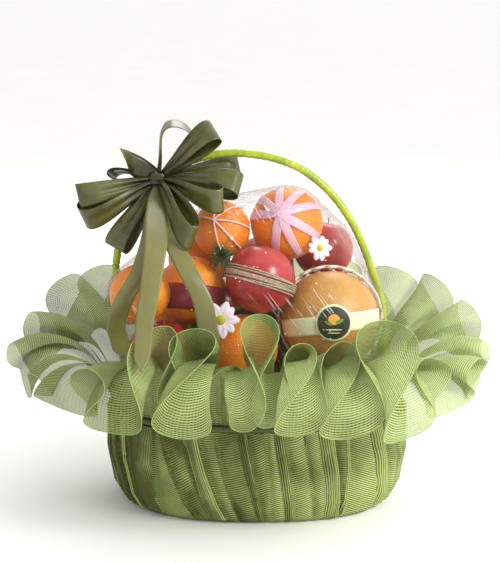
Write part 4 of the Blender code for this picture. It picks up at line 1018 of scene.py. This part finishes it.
def build_cord_star():
    """Thin pink cords crossed over the upper left orange, with pearls at three ends."""
    point = on_fruit("orange_corded", FRUITS["orange_corded"][3], TRIM_GAP + CORD_RADIUS * 0.6)
    cords = []
    for order, arm in enumerate(CORD_ARMS):
        path = [point(radians(STAR_REACH) * step / 24, radians(arm)) for step in range(25)]
        cords.append(rope(f"cord_arm_{order}", path, CORD_RADIUS))
    dress(join("cord_star_cords", cords), "pink_cord", "pink_cord", "cord_star")
    pearls = []
    for order, (away, arm) in enumerate(PEARLS):
        centre = point(radians(away), radians(arm), 0.001)
        pearls.append(ball(f"pearl_{order}", 16, 10, lambda polar, angle, centre=centre: (
            centre + round_way(polar, angle) * PEARL_RADIUS)))
    dress(join("cord_pearls", pearls), "pearl", "pink_cord")


def belt_on(name, axis):
    """Give a function for points round a fruit from an angle, a rise along an axis and a lift."""
    centre, radius, _, _ = FRUITS[name]
    normal, front = facing(*axis), facing(0, 0, 1)
    front = (front - normal * front.dot(normal)).normalized()
    across = normal.cross(front).normalized()

    def point(angle, rise, lift):
        flat = sqrt((radius + lift) ** 2 - rise ** 2)
        return Vector(centre) + normal * rise + (front * cos(angle) + across * sin(angle)) * flat
    return point


def build_belt(name, node, fruit_name, axis, offset, half_width, arc, finish, slot_name):
    """Band of ribbon or paper round a fruit, between two angles from the front."""
    point = belt_on(fruit_name, axis)

    def place(u, v):
        angle = radians(mix(arc[0], arc[1], u))
        wave = 0.00025 * sin(angle * 7 + v * 3)
        return point(angle, offset + mix(-half_width, half_width, v), TRIM_GAP + TRIM_THICKNESS + wave)
    belt = loft(name, 96, 8, place, arc[1] - arc[0] >= 360.0, (0.2, half_width * 2))
    dress(thicken(belt, TRIM_THICKNESS), finish, slot_name, node)


def build_twine():
    """Jute twine wound several times round the apple, one strand beside the other."""
    point = belt_on("apple_twined", (0.3, 1.0, -0.08))
    draw = random.Random(SEED + 3)
    strands = []
    for strand in range(8):
        rise_at = mix(-0.0062, 0.0048, strand / 7) - 0.001
        swing, start = draw.uniform(0.0006, 0.0018), draw.uniform(0, tau)
        path = [point(angle, rise_at + swing * sin(angle + start), 0.0014 + 0.0005 * sin(3 * angle + start))
                for angle in (tau * step / 96 for step in range(96))]
        strands.append(rope(f"twine_{strand}", path, lambda share, angle, start=start: (
            0.00085 * (1 + 0.16 * sin(2 * angle + share * tau * 70 + start))), closed=True))
    dress(join("jute_strands", strands), "jute_strands", "jute", "jute_twine")


def build_label():
    """Round label: a dark disc in a pale rim, with a plain fruit and two leaves on it."""
    radius = FRUITS["pear_banded"][1]
    point = on_fruit("pear_banded", (0.02, -0.075, 1.0), 0.0019)

    def disc(name, reach, rise, x=0.0, y=0.0, flat=1.0, turn=0.0):
        """Round or oval patch over the fruit, its middle at x, y from the label's middle."""
        def place(u, v):
            across, tall = reach * v * cos(u * tau), reach * flat * v * sin(u * tau)
            px = x + across * cos(turn) - tall * sin(turn)
            py = y + across * sin(turn) + tall * cos(turn)
            return point(hypot(px, py) / radius, atan2(py, px), rise)
        return loft(name, 48, 8, place, wrap=True)
    dress(thicken(disc("label_rim", LABEL_RADIUS, 0.0), TRIM_THICKNESS), "cream_paper", "label_dark",
          "pear_label")
    dress(disc("label_disc", LABEL_RADIUS * 0.87, 0.0003), "label_ink", "label_dark")
    dress(disc("label_fruit", 0.0058, 0.0006, x=0.0002, y=0.0035, flat=0.92), "label_orange",
          "label_dark")
    leaves = [disc("leaf_0", 0.0046, 0.0008, x=0.0058, y=0.0018, flat=0.42, turn=0.5),
              disc("leaf_1", 0.004, 0.0008, x=-0.0052, y=0.0, flat=0.42, turn=2.7)]
    dress(join("label_leaves", leaves), "label_leaf", "label_dark")
    bars = [disc(f"bar_{index}", 0.0085 - 0.002 * index, 0.0006, y=-0.0065 - 0.0033 * index, flat=0.07)
            for index in range(2)]
    dress(join("label_bars", bars), "cream_paper", "label_dark")


def build_foam():
    """Foam net cup behind the pear: crossing strands and a scalloped rim."""
    point = on_fruit("pear_banded", (0.1, 0.02, -1.0), 0.003)
    strands = []
    for way in (-1, 1):
        for strand in range(FOAM_STRANDS):
            path = []
            for share in (step / 16 for step in range(17)):
                angle = tau * (strand / FOAM_STRANDS + way * 0.075 * share)
                path.append(point(radians(mix(28, 90, share)), angle, 0.0006 * way * cos(share * pi * 6)))
            strands.append(rope(f"foam_{way}_{strand}", path, FOAM_RADIUS, sides=6))
    rim = [point(radians(91 + 2.2 * cos(tau * 24 * step / 192)), tau * step / 192) for step in range(192)]
    strands.append(rope("foam_rim", rim, FOAM_RADIUS, sides=6, closed=True))
    dress(join("foam_strands", strands), "foam_white", "white_foam", "foam_net")


def build_daisy(name):
    """Cloth daisy: two rings of cupped petals round a button, on a short stem."""
    centre, reach, look, stem_end = DAISIES[name]
    centre, axis, _, ring = pole_frame(centre, look)
    petals = []
    for petal in range(PETALS):
        along = ring(tau * petal / PETALS + 0.12 * sin(petal * 2.3))
        long = reach * (1.0 - 0.07 * sin(petal * 1.7))

        def place(u, v, along=along, beside=axis.cross(along), long=long, petal=petal):
            wide = reach * 0.3 * sin(pi * min(1.0, 0.16 + u * 0.8)) ** 0.7
            cup = 0.0011 * sin(pi * u) - 0.0016 * (2 * v - 1) ** 2 * u
            groove = -0.0004 * cos(v * tau * 2) * sin(pi * u)
            lift = cup + groove + 0.0004 * (petal % 2)
            return centre + along * mix(0.14, 1.0, u) * long + beside * mix(-wide, wide, v) + axis * lift
        petals.append(loft(f"petal_{petal}", 12, 8, place))
    daisy = thicken(join(f"{name}_petals", petals), 0.0004)
    dress(daisy, "petal_cloth", "daisy_petal", name)
    heart = ball(f"{name}_heart", 24, 14, lambda polar, angle: centre + axis * 0.0008 + (
        ring(angle) * sin(polar) * reach * 0.27 + axis * cos(polar) * reach * 0.16)
        * (1 + 0.05 * sin(angle * 12) * sin(polar * 7)))
    dress(heart, "daisy_heart", "daisy_petal")
    path = smooth_path([centre - axis * 0.001, (centre + Vector(stem_end)) / 2, stem_end], 10)
    dress(rope(f"{name}_stalk", path, 0.0009), "needles", "daisy_petal")


def clear_of_fruit(point, spare):
    """Whether a point lies clear of every fruit."""
    return all((point - Vector(centre)).length > radius + spare
               for centre, radius, _, _ in FRUITS.values())


def build_tuft(name):
    """Tuft of thin green needles between the fruit."""
    centre, reach = TUFTS[name]
    centre = Vector(centre)
    draw = random.Random(SEED + 5)
    body = bmesh.new()
    for _ in range(NEEDLES):
        way = Vector((draw.uniform(-1, 1), draw.uniform(-1, 0.3), draw.uniform(-1, 1))).normalized()
        long = reach * draw.uniform(0.55, 1.0)
        while long > 0.003 and not clear_of_fruit(centre + way * long, 0.0005):
            long -= 0.001
        level, _ = frame_on(way)
        bend = Vector((0, 0, -0.0015 * draw.random()))
        base = centre + way * 0.001
        knee = base + way * long * 0.6
        made = [body.verts.new(corner) for corner in (
            base - level * 0.0005, base + level * 0.0005, knee + level * 0.0004 + bend,
            knee - level * 0.0004 + bend, centre + way * long + bend * 2)]
        body.faces.new(made[:4])
        body.faces.new((made[3], made[2], made[4]))
    needles = thicken(as_object(f"{name}_needles", body), TRIM_THICKNESS)
    dress(needles, "needles", "needle_green", name)


def pull_film_in(body):
    """Move the film's vertices beside the handle inwards, clear of it."""
    path = handle_path(200)
    spare = HANDLE_RADIUS + 0.0016
    for vertex in body.verts:
        if abs(vertex.co.y) > 0.0085:
            continue
        for side in (-1, 1):
            legs = [point for point in path if point.x * side > 0.06]
            near = min(legs, key=lambda point: abs(point.z - vertex.co.z))
            limit = near.x * side - spare
            if vertex.co.x * side > limit:
                vertex.co.x = limit * side


def build_film():
    """Clear film drawn tight over the fruit, creased between them."""
    body = bmesh.new()
    for centre, radius, kind, _ in FRUITS.values():
        spread = radius + FILM_STAND_OFF - 0.0012 + (0.003 if kind == "pear" else 0.0)
        bmesh.ops.create_icosphere(body, subdivisions=3, radius=spread, matrix=Matrix.Translation(centre))
    for centre, reach, look, _ in DAISIES.values():
        centre, axis, _, ring = pole_frame(centre, look)
        for step in range(12):
            body.verts.new(centre + ring(tau * step / 12) * reach + axis * 0.0035)
    for step in range(48):
        x, y = oval(FILM_HALF_WIDTH, FILM_HALF_DEPTH, tau * step / 48)
        for drop in (0.0, 0.004):
            body.verts.new((x, y, FILM_FOOT - drop))
    hull = bmesh.ops.convex_hull(body, input=body.verts, use_existing_faces=False)
    kept = {item for item in hull["geom"] if isinstance(item, bmesh.types.BMFace)}
    bmesh.ops.delete(body, geom=[face for face in body.faces if face not in kept], context="FACES_ONLY")
    for items, context in ((body.edges, "EDGES"), (body.verts, "VERTS")):
        bmesh.ops.delete(body, geom=[item for item in items if not item.link_faces], context=context)
    cuts = [((0, level, 0), (0, 1, 0), False) for level in FILM_PINCH]
    for place, normal, clear in cuts + [((0, 0, FILM_FOOT), (0, 0, -1), True)]:
        bmesh.ops.bisect_plane(body, geom=body.verts[:] + body.edges[:] + body.faces[:],
                               plane_co=place, plane_no=normal, clear_outer=clear)
    bmesh.ops.triangulate(body, faces=body.faces)
    for longest in FILM_EDGES:
        edges = [edge for edge in body.edges if edge.calc_length() > longest]
        bmesh.ops.subdivide_edges(body, edges=edges, cuts=1)
        bmesh.ops.triangulate(body, faces=body.faces)
    for _ in range(3):
        free = [vertex for vertex in body.verts if vertex.co.z > FILM_FOOT + FILM_HEM]
        bmesh.ops.smooth_vert(body, verts=free, factor=0.4, use_axis_x=True, use_axis_y=True,
                              use_axis_z=True)
    body.normal_update()
    for vertex in body.verts:
        along = Vector((vertex.co.x * 26, vertex.co.y * 26, vertex.co.z * 90))
        crease = 1 - abs(noise.noise(along)) * 4
        if crease > 0 and vertex.co.z > FILM_FOOT + FILM_HEM:
            vertex.co += vertex.normal * crease * FILM_CREASE
    pull_film_in(body)
    dress(as_object("clear_film", body), "clear_film", "film_clear", "film")


def loop_piece(name, direction, length, opening, roll, sag):
    """Ribbon loop out of the knot and back, creased where it is gathered."""
    axis = facing(*direction)
    level = axis.cross(facing(0, 0, 1)).normalized()
    turn = radians(roll)
    lift = (level * cos(turn) + axis.cross(level) * sin(turn)).normalized()
    side = axis.cross(lift).normalized()
    centre = Vector(KNOT_CENTRE)

    def place(u, v):
        swell = sin(pi * u)
        out = 0.004 + (length - 0.004) * swell ** 0.8
        apart = opening * sin(tau * u) * (0.55 + 0.45 * swell) + 0.0022 * cos(pi * u)
        wide = RIBBON_WIDTH / 2 * (0.26 + 0.74 * swell ** 0.55)
        crease = 0.0021 * cos(v * tau * 2.0) * (1 - swell) ** 1.2
        drop = Vector((0, 0, -sag * swell ** 2))
        return (centre + axis * out + lift * (apart + crease)
                + side * mix(-wide, wide, v) + drop)
    loop = loft(name, 44, 12, place, lay=(length * LOOP_RIBBON, RIBBON_WIDTH))
    return thicken(loop, RIBBON_THICKNESS)


def build_bow():
    """Bow on the handle: loops, one pointed end, and the band of the knot."""
    pieces = [loop_piece(f"loop_{index}", *loop) for index, loop in enumerate(BOW_LOOPS)]
    direction, length = POINTED_END
    axis = facing(*direction)
    side = axis.cross(facing(0, 0, 1)).normalized()
    lift = axis.cross(side)
    centre = Vector(KNOT_CENTRE)

    def point_place(u, v):
        wide = RIBBON_WIDTH / 2 * sin(pi * min(1.0, 0.22 + u * 0.5)) * (1.0 - 0.25 * u)
        slant = length * (1.0 - 0.42 * (1 - v) * u)
        return (centre + axis * (0.003 + slant * u) + side * mix(-wide, wide, v)
                + lift * (0.006 * sin(3 * u) + 0.0015 * cos(v * tau) * u))
    end = loft("loop_end", 20, 6, point_place, lay=(length, RIBBON_WIDTH))
    pieces.append(thicken(end, RIBBON_THICKNESS))

    def knot_place(polar, angle):
        ridge = 1.06 + 0.08 * sin(11 * polar + 1.2 * sin(angle)) * sin(polar)
        return centre + Matrix.Diagonal(KNOT_SIZE) @ round_way(polar, angle) * ridge
    for piece in pieces:
        bpy.context.view_layer.objects.active = piece
        bpy.ops.object.modifier_apply(modifier="Thickness")
    bow = dress(join("satin_bow", pieces), "olive_satin", "satin_olive", "bow")
    knot = dress(ball("bow_knot", 60, 30, knot_place), "olive_satin", "satin_olive")


def build_tail(name):
    """Hanging ribbon end, cut straight or to a point."""
    points, widths, turns = TAILS[name]
    path = smooth_path((TAIL_ROOT,) + points, TAIL_STEPS + 1)

    def place(u, v):
        here = path[round(u * TAIL_STEPS)]
        if u < TAIL_SPREAD:
            wide = mix(widths[0], widths[1], u / TAIL_SPREAD)
        else:
            wide = mix(widths[1], widths[2], (u - TAIL_SPREAD) / (1 - TAIL_SPREAD))
        if name in POINTED_TAILS:
            wide *= mix(0.12, 1.0, min(1.0, (1 - u) / POINT_SHARE))
        turn = radians(mix(turns[0], turns[1], u))
        side = Vector((cos(turn), sin(turn), 0.0))
        curl = 0.001 * cos(v * tau) * (1 - u) + 0.0006 * sin(u * 9)
        return here + side * mix(-wide, wide, v) + Vector((-side.y, side.x, 0.0)) * curl
    length = sum((b - a).length for a, b in zip(path, path[1:]))
    tail = loft(f"{name}_ribbon", TAIL_STEPS, 8, place, lay=(length, RIBBON_WIDTH))
    # Painted light: the hanging ends take a lighter copy of the olive satin, as they face the light.
    dress(thicken(tail, RIBBON_THICKNESS), "olive_satin_lit_copy", "satin_olive", name)


def filler_ring(x, y):
    """How far out in the heap's plan a point lies: 1 at its edge, raised to the plan's power."""
    return (abs(x) / FILLER_HALF_WIDTH) ** PLAN_POWER + (abs(y) / FILLER_HALF_DEPTH) ** PLAN_POWER


def filler_height(x, y):
    """Top of the filler mound under the fruit."""
    ring = min(1.0, filler_ring(x, y) ** (1 / PLAN_POWER))
    level = FILLER_LEVEL + FILLER_RISE * (1.0 - ring ** 2)
    slack = mix(0.0085, 0.0155, ring)
    for centre, radius, kind, _ in FRUITS.values():
        reach = radius + 0.0012 + (0.003 if kind == "pear" else 0.0)
        away = max(hypot(x - centre[0], y - centre[1]) - slack, 0.0)
        if away < reach:
            level = min(level, centre[2] - sqrt(reach ** 2 - away ** 2))
    return level


def build_filler():
    """Filler: a bumpy core, coloured very dark partly as its own colour and partly as painted shade between
    the fruit, with paper shreds on top.
    """
    def place(u, v):
        x, y = oval(FILLER_HALF_WIDTH * v, FILLER_HALF_DEPTH * v, u * tau)
        bump = 0.0012 * noise.noise(Vector((x * 160, y * 160, 0.3)))
        return Vector((x, y, filler_height(x, y) - 0.0008 + bump))
    dress(loft("filler_core", 144, 48, place, wrap=True), "filler_dark", "filler_brown", "filler")
    draw = random.Random(SEED + 7)
    body = bmesh.new()
    for _ in range(SHREDS):
        angle, ring = draw.uniform(0, tau), sqrt(draw.uniform(0.02, 0.93))
        x, y = oval(0.128 * ring, 0.091 * ring, angle)
        heading, width = draw.uniform(0, pi), draw.uniform(0.001, 0.0018)
        along = Vector((cos(heading), sin(heading), 0))
        beside = Vector((-along.y, along.x, 0)) * width
        rows = []
        for step in range(9):
            here = Vector((x, y, 0)) + along * (step - 4) * SHRED_STEP
            here += beside * sin(step * 1.2 + angle) * 1.2
            if filler_ring(here.x, here.y) >= 0.95:
                continue
            here.z = filler_height(here.x, here.y) + 0.0002 + 0.0006 * (step % 2)
            rows.append((body.verts.new(here - beside), body.verts.new(here + beside)))
        for (left, right), (next_left, next_right) in zip(rows, rows[1:]):
            body.faces.new((left, right, next_right, next_left))
    loose = [vertex for vertex in body.verts if not vertex.link_faces]
    bmesh.ops.delete(body, geom=loose, context="VERTS")
    dress(as_object("filler_shreds", body), "filler_paper", "filler_brown")


def build_stage():
    """Pale floor, soft lights and the camera."""
    bpy.ops.mesh.primitive_plane_add(size=300.0, location=(0, 0, -0.0005))
    floor = bpy.context.object
    floor.name = "floor"
    paint = Finish("floor_pale", 0.8)
    tone = paint.noise(paint.place(), 3.0)
    paint.set("Base Color", paint.ramp(tone, (0.3, (0.95, 0.95, 0.945)), (0.7, (0.97, 0.97, 0.965))))
    floor.data.materials.append(FINISHES["floor_pale"])
    floor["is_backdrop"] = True
    scene = bpy.context.scene
    scene.world = bpy.data.worlds.new("studio")
    scene.world.use_nodes = True
    nodes, links = scene.world.node_tree.nodes, scene.world.node_tree.links
    nodes["Background"].inputs["Color"].default_value = (*SKY_COLOUR, 1.0)
    way, split, side = (nodes.new(f"ShaderNode{kind}") for kind in ("TexCoord", "SeparateXYZ", "MapRange"))
    for socket, value in zip(("From Min", "From Max", "To Min", "To Max"), (-1.0, 1.0, *SKY_STRENGTH)):
        side.inputs[socket].default_value = value
    links.new(way.outputs["Generated"], split.inputs[0])
    links.new(split.outputs["X"], side.inputs["Value"])
    links.new(side.outputs[0], nodes["Background"].inputs["Strength"])
    for name, (place, size, power) in LAMPS.items():
        light = bpy.data.lights.new(name, "AREA")
        light.energy = power
        light.size = size
        lamp = bpy.data.objects.new(name, light)
        lamp.location = place
        lamp.rotation_euler = (Vector((0, 0, 0.2)) - Vector(place)).to_track_quat("-Z", "Y").to_euler()
        scene.collection.objects.link(lamp)
    camera = bpy.data.cameras.new("camera")
    camera.lens = LENS_MM
    eye = bpy.data.objects.new("camera", camera)
    look = -facing(0, 0, 1)
    eye.location = Vector(VIEW_TARGET) - look * VIEW_DISTANCE
    eye.rotation_euler = look.to_track_quat("-Z", "Y").to_euler()
    scene.collection.objects.link(eye)
    scene.camera = eye
    scene.view_settings.view_transform = "Standard"


def main():
    """Dress the frame with every piece."""
    for leftover in list(bpy.data.objects):
        bpy.data.objects.remove(leftover, do_unlink=True)
    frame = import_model()
    cad_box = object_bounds()
    build_stage()
    make_finishes()
    tub = frame["nodes"]["basket_tub"]
    tub.data.materials.clear()
    tub.data.materials.append(FINISHES["tub_plastic"])
    build_skin()
    build_band()
    build_ruffle()
    build_handle()
    build_filler()
    for name in FRUITS:
        build_fruit(name)
    build_ribbon_star()
    build_cord_star()
    build_belt("red_ribbon", "red_band", "orange_banded", (0.09, 1.0, -0.1), -0.01, 0.013,
               (0.0, 360.0), "red_satin", "dark_red_band")
    build_twine()
    build_belt("cream_band", "pear_band", "pear_banded", (-0.12, 1.0, 0.0), -0.005, 0.0095,
               (-80.0, 78.0), "cream_paper", "cream_paper")
    build_label()
    build_foam()
    for name in DAISIES:
        build_daisy(name)
    for name in TUFTS:
        build_tuft(name)
    build_film()
    build_bow()
    for name in TAILS:
        build_tail(name)

    boxes = {"cad": cad_box, "visual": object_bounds()}
    {name: [list(corner) for corner in box] for name, box in boxes.items()}


main()
